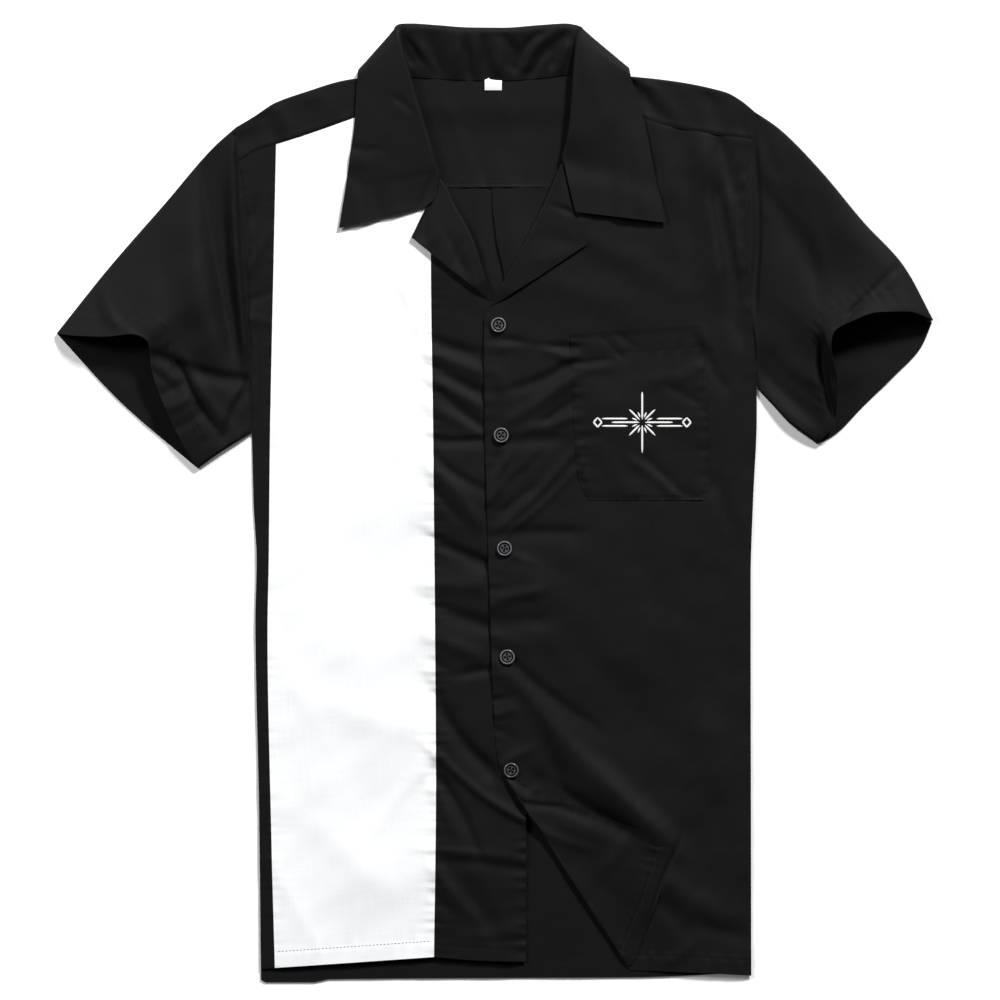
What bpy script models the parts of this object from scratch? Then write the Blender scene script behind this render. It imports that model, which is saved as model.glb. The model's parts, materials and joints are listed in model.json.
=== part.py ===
"""A men's bowling shirt laid flat on its back, front upwards.

World frame: +X to the wearer's left, +Y to the collar, +Z up from the surface.
Sizes below are millimetres; MM turns them into the scene's metres.
Each piece of cloth is a wall built round a grid of points in the middle of the cloth.
"""
import bpy
import numpy as np

MM = 0.001

# ------------------------------------------------------------------ driving sizes, in mm
CLOTH = 1.0             # thickness of every cloth wall
GAP = 0.3               # clearance between two pieces
HALF = CLOTH / 2
STEP = CLOTH + GAP      # from one layer of cloth to the next, middle to middle
TRIM = 0.2              # each piece stops this far short of its seam line

BOX_CENTRE = np.array([0.25, -0.48, 0.0])   # taken off, so the part's box is centred

FLOOR_LAYER = HALF                  # middle of cloth that rests on the surface
FRONT_LAYER = HALF + STEP           # lowest middle of the fronts, on the back
BODY_CENTRE_X = 8.0                 # middle of the body's width
BODY_HALF_WIDTH = 205.0
BODY_LOFT = 2.8                     # how far the fronts lie above their lowest level
OVERLAP_LIFT = 1.6                  # left front above right front where they lap
OVERLAP_INNER_X = 26.0              # right front's own edge
OVERLAP_OUTER_X = 56.0              # here the left front is back at the fronts' level

LAPEL_ROLL_LEFT = 1.6               # radius of the left lapel's roll
LAPEL_ROLL_RIGHT = 1.8              # radius of the right lapel's softer roll
CORNER_ROLL = 2.4                   # radius of the turned-back corner's fold
FLAP_START = 1.2                    # cloth past a fold line where its flap begins
FLAP_COLUMNS = 9                    # grid columns in a lapel or in the turned corner
ROLL_STEPS = 4                      # grid steps round any half turn of cloth
COVERED_X, COVERED_Y = (-14, -4), (-244, -228)  # the right front smooths out between these
LEAF_Y, LEAF_X = (304, 327), (112, 138)         # the yoke climbs over the collar between these
SHARPEST_MITRE = 0.85               # how far a wall may thin where its cloth bends

PLEAT_EDGE_X = -3.0                 # the pleat's visible edge on the back's inner side
PLEAT_DEPTH = 9.0
PLEAT_FOLDED_TO_Y = 175.0           # the pleat has its full depth above this
PLEAT_CLOSED_TO_Y = 125.0           # its layers lie on each other above this
PLEAT_FLAT_TO_Y = 20.0              # and it is gone below this
PLEAT_LEAST = 0.4                   # straight cloth between its two turns
PLEAT_WIDEST_TURN = 0.25            # sine at which an opening turn's radius stops growing
PLEAT_SHOWN_TURN = 0.7              # radians a turn needs before the pleat has its full shape
PLEAT_LEAD = 6.0                    # flat cloth before the first turn
PLEAT_RUN_ON = (5, 13, 17, 21)      # and past the edge, where the upper layer comes down

POCKET_CLEARANCE = 0.1              # air under the pocket, past its own layer

BUTTON_DIAMETER = 12.7
BUTTON_HEIGHT = 2.6
BUTTON_FOOT_INSET = 0.9             # the underside is this much smaller all round
BUTTON_EDGE_LOW, BUTTON_EDGE_HIGH = 1.1, 1.9    # its upright edge lies between these heights
BUTTON_TOP_INSET = 0.7
BUTTON_RIM = 1.6                    # from the edge to the rim's inner side
BUTTON_DISH_SLOPE = 1.0             # from there to the floor of the dished middle
BUTTON_DISH = 0.7                   # depth of the dished middle
BUTTON_HOLE = 0.85                  # radius of each of the four holes
BUTTON_HOLE_SPACING = 3.0
BUTTON_SIDES = 20
HOLE_SIDES = 6


def table(columns, *rows):
    """A short table: its named columns, each as an array down the rows."""
    return dict(zip(columns.split(), np.array(rows, float).T))


# ------------------------------------------------------------------ seam and edge lines, in mm
# Each runs through the points of its rows.
RIGHT_SIDE = table("x y", (-191.5, -382), (-193, -252), (-196, -96), (-195, -47), (-197.5, 0),
                   (-199, 57))
RIGHT_ARMHOLE = table("x y", (-199, 57), (-200, 129), (-202, 177), (-201, 207.5),
                      (-204.6, 251), (-209.5, 280), (-212, 308))
LEFT_SIDE = table("x y", (210.5, -387.5), (210, -63), (212, 2), (215, 71), (215, 94))
LEFT_ARMHOLE = table("x y", (215, 94), (214, 116), (209.5, 163), (205, 211), (204.6, 246),
                     (210.7, 295), (213, 321))
SHOULDER = table("x y", (-212, 308), (-197, 317), (-180, 328), (-155, 337), (-123, 346.5),
                 (-110, 348.3), (-80, 350), (80, 351.5), (109, 349.8), (142, 346.5),
                 (189, 337), (202, 330), (213, 321))
BACK_NECK = table("x y", (-80, 350), (-65, 349.5), (-8, 347), (37, 349), (63, 352), (80, 351.5))
BACK_YOKE_SEAM = table("x y", (-206, 257), (-3, 259), (206, 259.5))
RIGHT_YOKE_SEAM = table("x y", (-209.5, 280), (-193, 289.5), (-180, 293.6), (-159.5, 300),
                        (-114, 316), (-77, 331))
LEFT_YOKE_SEAM = table("x y", (78, 331), (120, 316), (141.5, 309), (175, 303), (211, 298))
RIGHT_NECKLINE = table("x y", (-77, 331), (-73, 320), (-64, 300), (-52.5, 278.6), (-43.5, 265.5))
LEFT_NECKLINE = table("x y", (54, 277.5), (60.5, 284), (68.5, 300), (75.5, 322), (78, 331))
BACK_HEM = table("x y", (-188, -393), (-146, -393), (-138, -390.5), (0, -389.5), (110, -389),
                 (210.5, -385))
BACK_CORNER = (-188.0, -389.0)      # lower right corner of the back, and its first row's y
BACK_LEFT_FOOT_Y = -385.0
BACK_TOP_Y = 257.0                  # where the back's side edges end at the yoke
RIGHT_SIDE_SEAM = table("x y", (-180, -381), (-183, -268), (-186, -104), (-185, -47),
                        (-184, 52), (-181, 199), (-179, 294))
RIGHT_CENTRE_SEAM = table("x y", (-49.6, -372), (-48, -235), (-48.8, -96), (-49.6, -14),
                          (-50.4, 68), (-52, 175), (-52.5, 278.6))
RIGHT_ROLL_LINE = table("x y", (-2.5, 167), (-8, 187), (-16, 213), (-24, 230),
                        (-32.4, 244.4), (-37.4, 256), (-43.5, 265.5))
RIGHT_LAPEL_EDGE = table("x y share", (-3.5, 166, 0), (-34, 190, 0.375), (-68, 217.5, 0.75),
                         (-62.5, 229, 0.875), (-56.5, 241, 1))
RIGHT_GORGE = table("x y share", (-45.4, 264.3, 0), (-46, 259.5, 0.2), (-47.2, 251.6, 0.5),
                    (-50.6, 245.8, 0.75), (-56.5, 241, 1))
LEFT_FRONT_EDGE = table("x y", (7, -224), (2, -205), (-1, -161.5), (-3.7, -79.5), (-6, -6),
                        (-7.8, 68), (-8.6, 148), (-3.5, 162))
RIGHT_HIDDEN_EDGE = table("x y", (25.8, -376), (25.8, 110), (20, 132))     # under the left front
RIGHT_EDGE_TURNS_Y = 148.0          # above this the hidden edge runs in to the lapel's foot
LEFT_ROLL_LINE = table("x y", (-3.5, 162), (40.5, 246), (54, 277.5))
LEFT_LAPEL_EDGE = table("x y share", (-1, 162, 0), (37, 186, 0.3125), (76, 212, 0.625),
                        (65, 238, 0.75), (62, 250, 0.875), (58.8, 264.5, 1))
CORNER_FOLD_LINE = table("x y", (7, -224), (110, -382))
CORNER_EDGE = table("x y share", (9, -224, 0), (58, -243.5, 0.25), (104, -263, 0.4583),
                    (147, -278, 0.6667), (135, -322, 0.8333), (120, -360, 0.9167), (112, -380, 1))
POCKET_INNER_SIDE = table("x y share", (78, 2.5, 0), (70.5, 16, 0.1), (67.6, 30, 0.2),
                          (62, 139, 1))
POCKET_OUTER_SIDE = table("x y share", (171, 2.5, 0), (175.8, 8, 0.1), (176.6, 20, 0.2),
                          (170, 146, 1))
LEFT_FRONT_TOP_Y = 295.0            # where the left armhole meets the yoke's front seam
YOKE_SHOULDER_X = (-212, -80, 80, 213)      # right end, sides of the neck, left end: shoulders
YOKE_SEAM_X = (-209.5, -77, 78, 210.7)      # the same along the front seams
YOKE_BACK_X = (-205, 206)                   # ends of the back seam
YOKE_RIGHT_BEND, YOKE_LEFT_BEND = (-208.5, 281), (210, 294)     # middles of its end edges

# ------------------------------------------------------------------ folds, in mm
# A fold is a ridge (or a trough, with negative heights) along a straight line: its two ends,
# its half width, and its height at each end. It fades out past both ends.
LEFT_FRONT_FOLDS = table(
    "x0 y0 x1 y1 width start end",
    (38, -158, 128, -250, 13, 3.4, 5.2),      # ridge above the turned corner
    (46, -196, 104, -262, 8, -1.0, -2.4),     # trough under it, where the flap's edge lies
    (12, -236, 104, -374, 9, 2.0, 1.4),       # the corner's fold stands up a little
    (150, -300, 196, -332, 12, 2.4, 0.6),     # soft fold below the flap's tip
    (184, 250, 201, 150, 7, -2.2, -1.2),      # trough beside the left armhole
    (172, 286, 186, 196, 7, 2.4, 1.6),        # ridge beside it
    (157, 292, 166, 190, 8, -1.2, -0.8),
    (42, 116, 62, 98, 8, 1.2, 0.9),           # pulls between the buttons and the pocket
    (40, 34, 60, 62, 8, 1.3, 1.0),
    (42, -26, 80, -6, 9, 1.5, 0.8),
    (150, -60, 190, -210, 16, 1.3, 1.3),      # wide soft swell at the left side
)
RIGHT_FRONT_FOLDS = table(
    "x0 y0 x1 y1 width start end",
    (-30, -150, -34, -330, 10, 1.4, 1.8),     # long soft fold down the centre piece
    (14, -292, -40, -298, 7, 1.2, 1.6),
    (-16, 34, -46, 78, 7, 0.9, 1.8),
    (-18, -36, -46, 2, 7, 0.9, 1.6),
    (-18, -118, -46, -86, 7, 0.9, 1.6),
    (-60, 40, -120, 64, 12, 1.2, 0.6),        # shallow creases in the insert
    (-70, -176, -150, -150, 14, 1.2, 0.7),
    (-174, 60, -160, 20, 8, 0.9, 0.4),
    (-96, -300, -160, -250, 14, 0.9, 0.6),
)
RIGHT_SLEEVE_FOLDS = table(
    "x0 y0 x1 y1 width start end",
    (-229, 286, -208, 130, 8, -3.6, -3.0),    # trough outside the armhole
    (-252, 262, -232, 120, 13, 3.4, 3.0),     # swell beside it
    (-286, 224, -268, 150, 12, 1.8, 2.6),
    (-319, 190, -292, 138, 5, -2.6, -1.6),
    (-252, 112, -222, 62, 7, -3.0, -2.4),     # creases at the underarm
    (-232, 106, -212, 72, 6, 2.2, 1.4),
)
LEFT_SLEEVE_FOLDS = table(
    "x0 y0 x1 y1 width start end",
    (218, 292, 214, 150, 6, -2.4, -2.0),
    (240, 286, 232, 140, 12, 3.0, 3.6),
    (268, 262, 256, 130, 13, 1.4, 2.8),
    (300, 222, 276, 148, 9, 2.2, 2.0),
    (335, 196, 296, 158, 5, -2.4, -1.6),
    (262, 96, 226, 112, 7, -2.6, -1.8),
)

# ------------------------------------------------------------------ sleeves, in mm
# Edge lines run from the armhole to the mouth; mouth lines run from the shoulder side to the
# underarm side, and the front one gives the height at which the open mouth arches.
RIGHT_SLEEVE = {
    "shoulder": table("x y", (-212, 308), (-231, 291), (-268, 248), (-318, 190.5), (-359, 139)),
    "underarm": table("x y", (-199, 57), (-214, 48), (-228, 39), (-243, 28)),
    "armhole": table("x y share", (-212, 308, 0), (-209.5, 280, 0.11), (-204.6, 251, 0.23),
                     (-201, 207.5, 0.4), (-202, 177, 0.52), (-200, 129, 0.71), (-199, 57, 1)),
    "mouth_back": table("x y share", (-359, 139, 0), (-307, 83, 0.48), (-243, 28, 1)),
    "mouth_front": table("x y z share", (-359, 139, 2.6, 0), (-342, 138, 12, 0.1),
                         (-318, 136, 19, 0.24), (-297, 138, 21.5, 0.35), (-282, 130, 23, 0.46),
                         (-280, 112, 23, 0.56), (-267, 76, 18, 0.74), (-254, 48, 10, 0.89),
                         (-243, 28, 2.8, 1)),
    "folds": RIGHT_SLEEVE_FOLDS,
}
LEFT_SLEEVE = {
    "shoulder": table("x y", (213, 321), (233, 307), (267, 272.5), (302, 230.5), (335, 194.5),
                      (359.5, 150)),
    "underarm": table("x y", (215, 94), (228, 80), (243, 64), (265, 48)),
    "armhole": table("x y share", (213, 321, 0), (210.7, 295, 0.12), (204.6, 246, 0.33),
                     (205, 211, 0.48), (209.5, 163, 0.7), (214, 116, 0.9), (215, 94, 1)),
    "mouth_back": table("x y share", (359.5, 150, 0), (350, 128, 0.18), (326, 102.5, 0.42),
                        (302, 79, 0.66), (279, 56, 0.9), (265, 48, 1)),
    "mouth_front": table("x y z share", (359.5, 150, 2.6, 0), (337, 156, 14, 0.14),
                         (314, 155, 20, 0.28), (295, 150, 22, 0.4), (278, 141, 23.5, 0.52),
                         (274, 130, 24, 0.59), (277, 98, 20, 0.75), (278, 66, 10, 0.9),
                         (265, 48, 2.8, 1)),
    "folds": LEFT_SLEEVE_FOLDS,
}
SLEEVE_RINGS = 13                   # rings from armhole to mouth
SLEEVE_FRONT_STEPS = 12             # steps across a ring's upper half
SLEEVE_BACK_STEPS = 6               # and across its flat under half
SLEEVE_SWELL = 4.5                  # how far a sleeve's middle stands up
SLEEVE_SWELL_RUN = 0.9              # how much of its half wave lies between armhole and mouth
SLEEVE_SWELL_POWER = 0.4            # below 1: its flanks are steeper and its top flatter
SLEEVE_EDGE_SHARE, SLEEVE_FADE_POWER = 0.04, 0.5    # how its folds fade out at both edges
SLEEVE_MOUTH_POWER = 1.7            # how late along the sleeve the mouth starts to rise

# ------------------------------------------------------------------ collar, in mm
# One row for each section round the neck, from the left notch round the back to the right
# notch: the neck seam, the crest of the roll and its radius, the leaf's outer edge, the way
# the roll turns (90 over the front, 0 at the side of the neck, -90 under the back) and how
# many grid steps lead to the next section.
COLLAR = table(
    "seam_x seam_y seam_z roll_x roll_y roll_z radius edge_x edge_y edge_z turn steps",
    (66.5, 239.0, 8.4, 62, 242, 6.7, 1.7, 140.6, 229.5, 8.0, 90, 2),
    (61.7, 258.9, 8.6, 58, 260, 6.9, 1.7, 137, 246, 8.0, 90, 2),
    (57.6, 280.2, 4.9, 55.7, 282.4, 6.9, 1.7, 133, 261, 8.2, 90, 1),
    (62.0, 287.6, 4.8, 57.6, 291.6, 7.4, 2.1, 129.5, 278, 8.3, 90, 1),
    (67.9, 300.4, 4.7, 60.3, 305.5, 8.2, 2.4, 125.5, 300, 8.4, 90, 2),
    (75.0, 322.3, 4.7, 62.8, 331, 8.9, 2.4, 119.5, 325, 8.4, 90, 2),
    (78.7, 339, 4.7, 64.2, 353, 9.4, 2.4, 114.5, 340, 8.4, 80, 2),
    (79.4, 350, 4.5, 67.0, 381, 8.9, 2.4, 111.3, 350.5, 8.0, 50, 2),
    (79.2, 353.2, 3.6, 69.5, 389.8, 6.2, 2.4, 109.3, 357.0, 4.0, 0, 2),
    (76.5, 353.6, 2.4, 67.3, 391.2, 3.5, 2.4, 101, 353.0, 0.6, -50, 2),
    (62, 353.2, 1.8, 55, 391.2, 2.9, 2.4, 84, 344, 0.5, -90, 2),
    (37, 350.4, 1.8, 33, 389.8, 2.9, 2.4, 48, 340.5, 0.5, -90, 2),
    (8, 348.6, 1.8, 8, 387.8, 2.9, 2.4, 10, 339, 0.5, -90, 2),
    (-22, 349.0, 1.8, -20, 388.0, 2.9, 2.4, -26, 339, 0.5, -90, 2),
    (-48, 350.0, 1.8, -46, 390, 2.9, 2.4, -60, 340.5, 0.5, -90, 2),
    (-66, 351.4, 1.8, -66, 391.5, 2.9, 2.4, -88, 344, 0.5, -90, 2),
    (-76.5, 352.0, 2.4, -77.5, 391.3, 3.5, 2.4, -102, 351.5, 0.6, -50, 2),
    (-79.2, 352.2, 3.6, -79.7, 389.8, 6.2, 2.4, -110.4, 356, 4.0, 0, 2),
    (-78.8, 349, 4.5, -77.5, 381, 8.9, 2.4, -112.3, 349.5, 8.0, 50, 2),
    (-77.5, 338, 4.7, -71.0, 358, 9.4, 2.4, -113, 338, 8.4, 80, 2),
    (-74.5, 326, 4.7, -64.5, 335, 9.0, 2.4, -113.8, 325, 8.4, 90, 2),
    (-67.0, 308, 4.7, -57.5, 312, 8.4, 2.4, -115.3, 306, 8.4, 90, 2),
    (-58.0, 289.6, 4.7, -51.5, 292, 7.8, 2.2, -118.5, 284, 8.3, 90, 2),
    (-51.0, 276.6, 4.8, -48.2, 278.2, 7.2, 1.8, -121.5, 262, 8.2, 90, 1),
    (-47.2, 269.4, 4.9, -44.8, 270.8, 6.9, 1.7, -123, 252, 8.2, 90, 1),
    (-48.3, 252.5, 8.6, -46, 256, 6.9, 1.7, -124.8, 239, 8.2, 90, 1),
    (-57.4, 243.2, 8.4, -54, 244, 6.7, 1.7, -127, 226.5, 8.0, 90, 0),
)
COLLAR_GORGE_ROWS = 2               # sections at each end that are leaf only
COLLAR_STAND_STEPS = 3
COLLAR_LEAF_STEPS = 6

BUTTON_CENTRES = table("x y", (3.3, 145.9), (5.5, 55.6), (8.2, -37.2), (10.5, -126.1),
                       (13.7, -218.9))
SIZE_LABEL = {"x": -1.0, "y": 342.0, "width": 14.0, "height": 8.0}

# ------------------------------------------------------------------ colours and finishes
BLACK = (0.012, 0.012, 0.014)
WHITE = (0.86, 0.86, 0.87)
BUTTON_BLACK = (0.02, 0.02, 0.022)
LABEL_WHITE = (0.8, 0.8, 0.8)


# ------------------------------------------------------------------ curves and heights
def smooth_curve(known, values, wanted):
    """Values at the wanted places, on a cubic through the known ones that never overshoots."""
    known, values = np.asarray(known, float), np.asarray(values, float)
    widths = np.diff(known)
    slopes = np.diff(values) / widths
    tangents = np.empty_like(values)
    tangents[0], tangents[-1] = slopes[0], slopes[-1]
    agree = slopes[:-1] * slopes[1:] > 0
    sums = np.where(agree, slopes[:-1] + slopes[1:], 1.0)
    tangents[1:-1] = np.where(agree, 2 * slopes[:-1] * slopes[1:] / sums, 0.0)
    cell = np.clip(np.searchsorted(known, wanted) - 1, 0, len(widths) - 1)
    t = (np.asarray(wanted, float) - known[cell]) / widths[cell]
    width = widths[cell]
    return ((2 * t**3 - 3 * t**2 + 1) * values[cell] + (t**3 - 2 * t**2 + t) * width * tangents[cell]
            + (3 * t**2 - 2 * t**3) * values[cell + 1] + (t**3 - t**2) * width * tangents[cell + 1])


def along(line, shares):
    """Plan points at these shares of a line; its rows are placed by arc length or by share."""
    if "share" in line:
        known = line["share"]
    else:
        known = np.concatenate([[0], np.cumsum(np.hypot(np.diff(line["x"]), np.diff(line["y"])))])
        known = known / known[-1]
    names = [name for name in ("x", "y", "z") if name in line]
    return np.stack([smooth_curve(known, line[name], shares) for name in names], axis=-1)


def run(line, steps):
    return along(line, np.linspace(0, 1, steps + 1))


def at_x(line, x):
    """The line's y at these x, for a line whose x only grows."""
    order = np.argsort(line["x"])
    return smooth_curve(line["x"][order], line["y"][order], x)


def at_y(line, y):
    """The line's x at these y, for a line whose y only grows or only falls."""
    order = np.argsort(line["y"])
    return smooth_curve(line["y"][order], line["x"][order], y)


def ease(value, low, high):
    """0 below low, 1 above high, smooth between."""
    t = np.clip((value - low) / (high - low), 0, 1)
    return t * t * (3 - 2 * t)


def fold_height(folds, x, y):
    """Sum of the ridges and troughs of a fold table at these plan points."""
    total = np.zeros(np.shape(x))
    for x0, y0, x1, y1, width, start, end in zip(*folds.values()):
        run_x, run_y = x1 - x0, y1 - y0
        length = np.hypot(run_x, run_y)
        share = ((x - x0) * run_x + (y - y0) * run_y) / length**2
        across = ((x - x0) * run_y - (y - y0) * run_x) / length
        past = np.maximum(0, np.maximum(-share, share - 1)) * length
        height = start + (end - start) * np.clip(share, 0, 1)
        total += height * np.exp(-(across / width)**2 - (past / (1.6 * width))**2)
    return total


def front_height(x, y):
    """Middle of the fronts' cloth, unfolded: level near the sides, lofted in the middle."""
    off_centre = np.clip(np.abs(x - BODY_CENTRE_X) / BODY_HALF_WIDTH, 0, 1)
    return FRONT_LAYER + BODY_LOFT * (1 - off_centre**4)


def right_front_height(x, y):
    """The right front with its folds, which are smoothed out under the left front."""
    covered = ease(x, *COVERED_X) * ease(y, *COVERED_Y)
    folds = (1 - covered) * fold_height(RIGHT_FRONT_FOLDS, x, y)
    return np.maximum(front_height(x, y) + folds, FRONT_LAYER)


def left_front_height(x, y):
    """The left front with its folds; it climbs over the right front where it laps it."""
    lap = 1 - ease(x, OVERLAP_INNER_X, OVERLAP_OUTER_X)
    folds = fold_height(LEFT_FRONT_FOLDS, x, y)
    return np.maximum(front_height(x, y) + OVERLAP_LIFT * lap + folds, FRONT_LAYER)


def yoke_back_height(x, y):
    """The yoke's under layer lies on the surface, but climbs over the collar's leaf."""
    over_leaf = ease(y, *LEAF_Y) * (1 - ease(np.abs(x), *LEAF_X))
    return FLOOR_LAYER + STEP * over_leaf


# ------------------------------------------------------------------ grids and walls
def patch(low, high, left, right):
    """Plan points between four edges: low and high run left to right, the others upwards."""
    u = np.linspace(0, 1, len(low))[None, :, None]
    v = np.linspace(0, 1, len(left))[:, None, None]
    ruled = (1 - v) * low[None] + v * high[None] + (1 - u) * left[:, None] + u * right[:, None]
    corners = ((1 - v) * ((1 - u) * low[0] + u * low[-1])
               + v * ((1 - u) * high[0] + u * high[-1]))
    return ruled - corners


def trim(points, low=0, high=0, left=0, right=0):
    """Draw the named edges of a grid in, each towards its neighbouring row or column."""
    result = points.copy()
    for amount, edge, inner in ((low, np.s_[0, :], np.s_[1, :]), (high, np.s_[-1, :], np.s_[-2, :]),
                                (left, np.s_[:, 0], np.s_[:, 1]), (right, np.s_[:, -1], np.s_[:, -2])):
        away = points[inner] - points[edge]
        result[edge] += amount * away / np.linalg.norm(away, axis=-1, keepdims=True)
    return result


def raised(plan, height):
    return np.concatenate([plan, height[..., None]], axis=-1)


def turned_flap(inner, outward, outer, radius, count):
    """Cloth that turns back over itself along a fold line, one row for each inner point.

    It leaves the fold line outwards, goes round half a turn and runs back to the outer edge.
    Returns plan points and how far each stands above the cloth it turns over.
    """
    reach = np.linalg.norm(outer - inner, axis=-1)[:, None]
    back = (outer - inner) / reach[..., 0][:, None]
    half_turn = np.pi * radius
    length = np.where(reach < 2 * radius,
                      FLAP_START + reach * (1 + (half_turn - FLAP_START) / (2 * radius)),
                      reach + half_turn)
    column = np.arange(1, count + 1)[None, :]
    beyond = np.clip((column - ROLL_STEPS) / (count - ROLL_STEPS), 0, 1)
    placed = np.minimum(column, ROLL_STEPS) / ROLL_STEPS * half_turn + beyond * (length - half_turn)
    placed = np.minimum(placed, length * column / count)
    placed[:, -1:] = length
    angle = np.minimum(placed, half_turn) / radius
    flat = np.maximum(placed - half_turn, 0)
    plan = (inner[:, None] + outward[:, None] * (radius * np.sin(angle))[..., None]
            + back[:, None] * flat[..., None])
    return plan, radius * (1 - np.cos(angle))


def drawn_in(line_points, distance, side):
    """A line moved sideways: to its left with side 1, to its right with side -1."""
    run_on = np.gradient(line_points, axis=0)
    run_on /= np.linalg.norm(run_on, axis=-1, keepdims=True)
    sideways = side * np.stack([-run_on[:, 1], run_on[:, 0]], axis=-1)
    return line_points + distance * sideways, -sideways


def cell_normals(points, wrap):
    ahead = np.roll(points, -1, axis=1) if wrap else points[:, 1:]
    here = points if wrap else points[:, :-1]
    normals = np.cross(ahead[1:] - here[:-1], here[1:] - ahead[:-1])
    return normals / np.maximum(np.linalg.norm(normals, axis=-1, keepdims=True), 1e-9)


def wall(name, points, colour, keep=None, wrap=False, roughness=0.8):
    """A closed wall of cloth: half its thickness to each side of a grid of middle points.

    keep marks the grid's cells that are cloth; with wrap the columns join into rings.
    """
    rows, columns = points.shape[:2]
    cells = (rows - 1, columns if wrap else columns - 1)
    keep = np.ones(cells, bool) if keep is None else keep
    faces = cell_normals(points, wrap) * keep[..., None]
    total = np.zeros(points.shape)
    share = np.zeros((rows, columns, 1))
    for down in (0, 1):
        for across in (0, 1):
            there = (np.arange(cells[1]) + across) % columns
            total[down:down + cells[0], there] += faces
            share[down:down + cells[0], there] += keep[..., None]
    size = np.linalg.norm(total, axis=-1, keepdims=True)
    normals = total / np.maximum(size, 1e-9)
    spread = np.maximum(size / np.maximum(share, 1), SHARPEST_MITRE)
    offset = normals * HALF / spread
    vertices = np.concatenate([(points + offset).reshape(-1, 3), (points - offset).reshape(-1, 3)])

    count = rows * columns
    triangles, edges = [], {}
    flat = points.reshape(-1, 3)
    for row, column in zip(*np.nonzero(keep)):
        following = (column + 1) % columns
        corner = [row * columns + column, row * columns + following,
                  (row + 1) * columns + following, (row + 1) * columns + column]
        for first, second in zip(corner, corner[1:] + corner[:1]):
            if (second, first) in edges:
                del edges[(second, first)]
            else:
                edges[(first, second)] = True
        # both sides of the wall split each cell along the same, shorter diagonal
        first_diagonal, second_diagonal = (np.linalg.norm(flat[corner[i]] - flat[corner[i + 2]])
                                           for i in (0, 1))
        if first_diagonal > second_diagonal:
            corner = corner[1:] + corner[:1]
        for half in ((corner[0], corner[1], corner[2]), (corner[0], corner[2], corner[3])):
            triangles.append(half)
            triangles.append([index + count for index in reversed(half)])
    for first, second in edges:
        triangles.append([second, first, first + count])
        triangles.append([second, first + count, second + count])
    used = np.unique(np.array(triangles))
    renumber = np.zeros(2 * count, int)
    renumber[used] = np.arange(len(used))
    return add_object(name, vertices[used], renumber[np.array(triangles)], colour, roughness)


# ------------------------------------------------------------------ objects and materials
def make_material(name, colour, roughness):
    material = bpy.data.materials.new(name)
    material.use_nodes = True
    shader = material.node_tree.nodes["Principled BSDF"]
    shader.inputs["Base Color"].default_value = (*colour, 1)
    shader.inputs["Roughness"].default_value = roughness
    shader.inputs["Metallic"].default_value = 0.0
    return material


def add_object(name, vertices, faces, colour, roughness):
    mesh = bpy.data.meshes.new(name)
    mesh.from_pydata(((vertices - BOX_CENTRE) * MM).tolist(), [],
                     [list(map(int, face)) for face in faces])
    mesh.update()
    if signed_volume(mesh) < 0:
        mesh.flip_normals()
    mesh.shade_smooth()
    mesh.set_sharp_from_angle(angle=np.radians(40))
    mesh.materials.append(make_material(name, colour, roughness))
    piece = bpy.data.objects.new(name, mesh)
    bpy.context.scene.collection.objects.link(piece)
    return piece


def signed_volume(mesh):
    mesh.calc_loop_triangles()
    corners = np.array([vertex.co for vertex in mesh.vertices])
    triangles = corners[np.array([triangle.vertices for triangle in mesh.loop_triangles])]
    return np.einsum("ij,ij->i", triangles[:, 0], np.cross(triangles[:, 1], triangles[:, 2])).sum()


# ------------------------------------------------------------------ the back and the yoke
def pleat_columns(y):
    """x and z across the back where its centre pleat lies, one row for each y.

    The cloth runs along the surface, turns up and back over itself to the visible edge, and
    turns again to run on above, so three layers lie on each other. Lower down the two turns
    open until the cloth is flat.
    """
    turn = np.pi * ease(y, PLEAT_FLAT_TO_Y, PLEAT_CLOSED_TO_Y)[:, None]
    radius = STEP / 2 / np.maximum(np.sin(turn / 2), PLEAT_WIDEST_TURN)
    depth = ease(y, PLEAT_CLOSED_TO_Y, PLEAT_FOLDED_TO_Y)[:, None]
    overlap = PLEAT_LEAST + (PLEAT_DEPTH - PLEAT_LEAST) * depth
    bend = turn * np.linspace(0, 1, ROLL_STEPS + 1)
    bend_x, bend_z = radius * np.sin(bend), radius * (1 - np.cos(bend))
    start_x = -2 * bend_x[:, -1:] - overlap * np.cos(turn)
    rise = 2 * bend_z[:, -1:] + overlap * np.sin(turn)
    zero = 0 * turn
    x = np.hstack([zero - PLEAT_LEAD, start_x + bend_x, -bend_x[:, ::-1], zero + PLEAT_RUN_ON])
    z = np.hstack([zero, bend_z, rise - bend_z[:, ::-1], rise, rise, rise / 2, zero])
    spread = np.linspace(-PLEAT_LEAD, PLEAT_RUN_ON[-1], x.shape[1])[None, :]
    shown = ease(turn, 0, PLEAT_SHOWN_TURN)
    x = PLEAT_EDGE_X + STEP / 2 + spread + shown * (x - spread)
    return x, FLOOR_LAYER + shown * z


# y of the back's rows at its pleat: close together where the pleat changes
BACK_ROW_Y = np.array([-389, -330, -265, -200, -135, -70, -10, 20, 40, 60, 80, 100, 125, 150,
                       175, 200, 220, 240, 259], float)


def side_line(side, armhole, shares, low_y, high_y):
    """A body edge from hem to yoke: side seam below the underarm, armhole above it."""
    y = low_y + shares * (high_y - low_y)
    x = np.where(y < side["y"][-1], smooth_curve(side["y"], side["x"], y),
                 smooth_curve(armhole["y"], armhole["x"], y))
    return np.stack([x, y], axis=-1)


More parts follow.
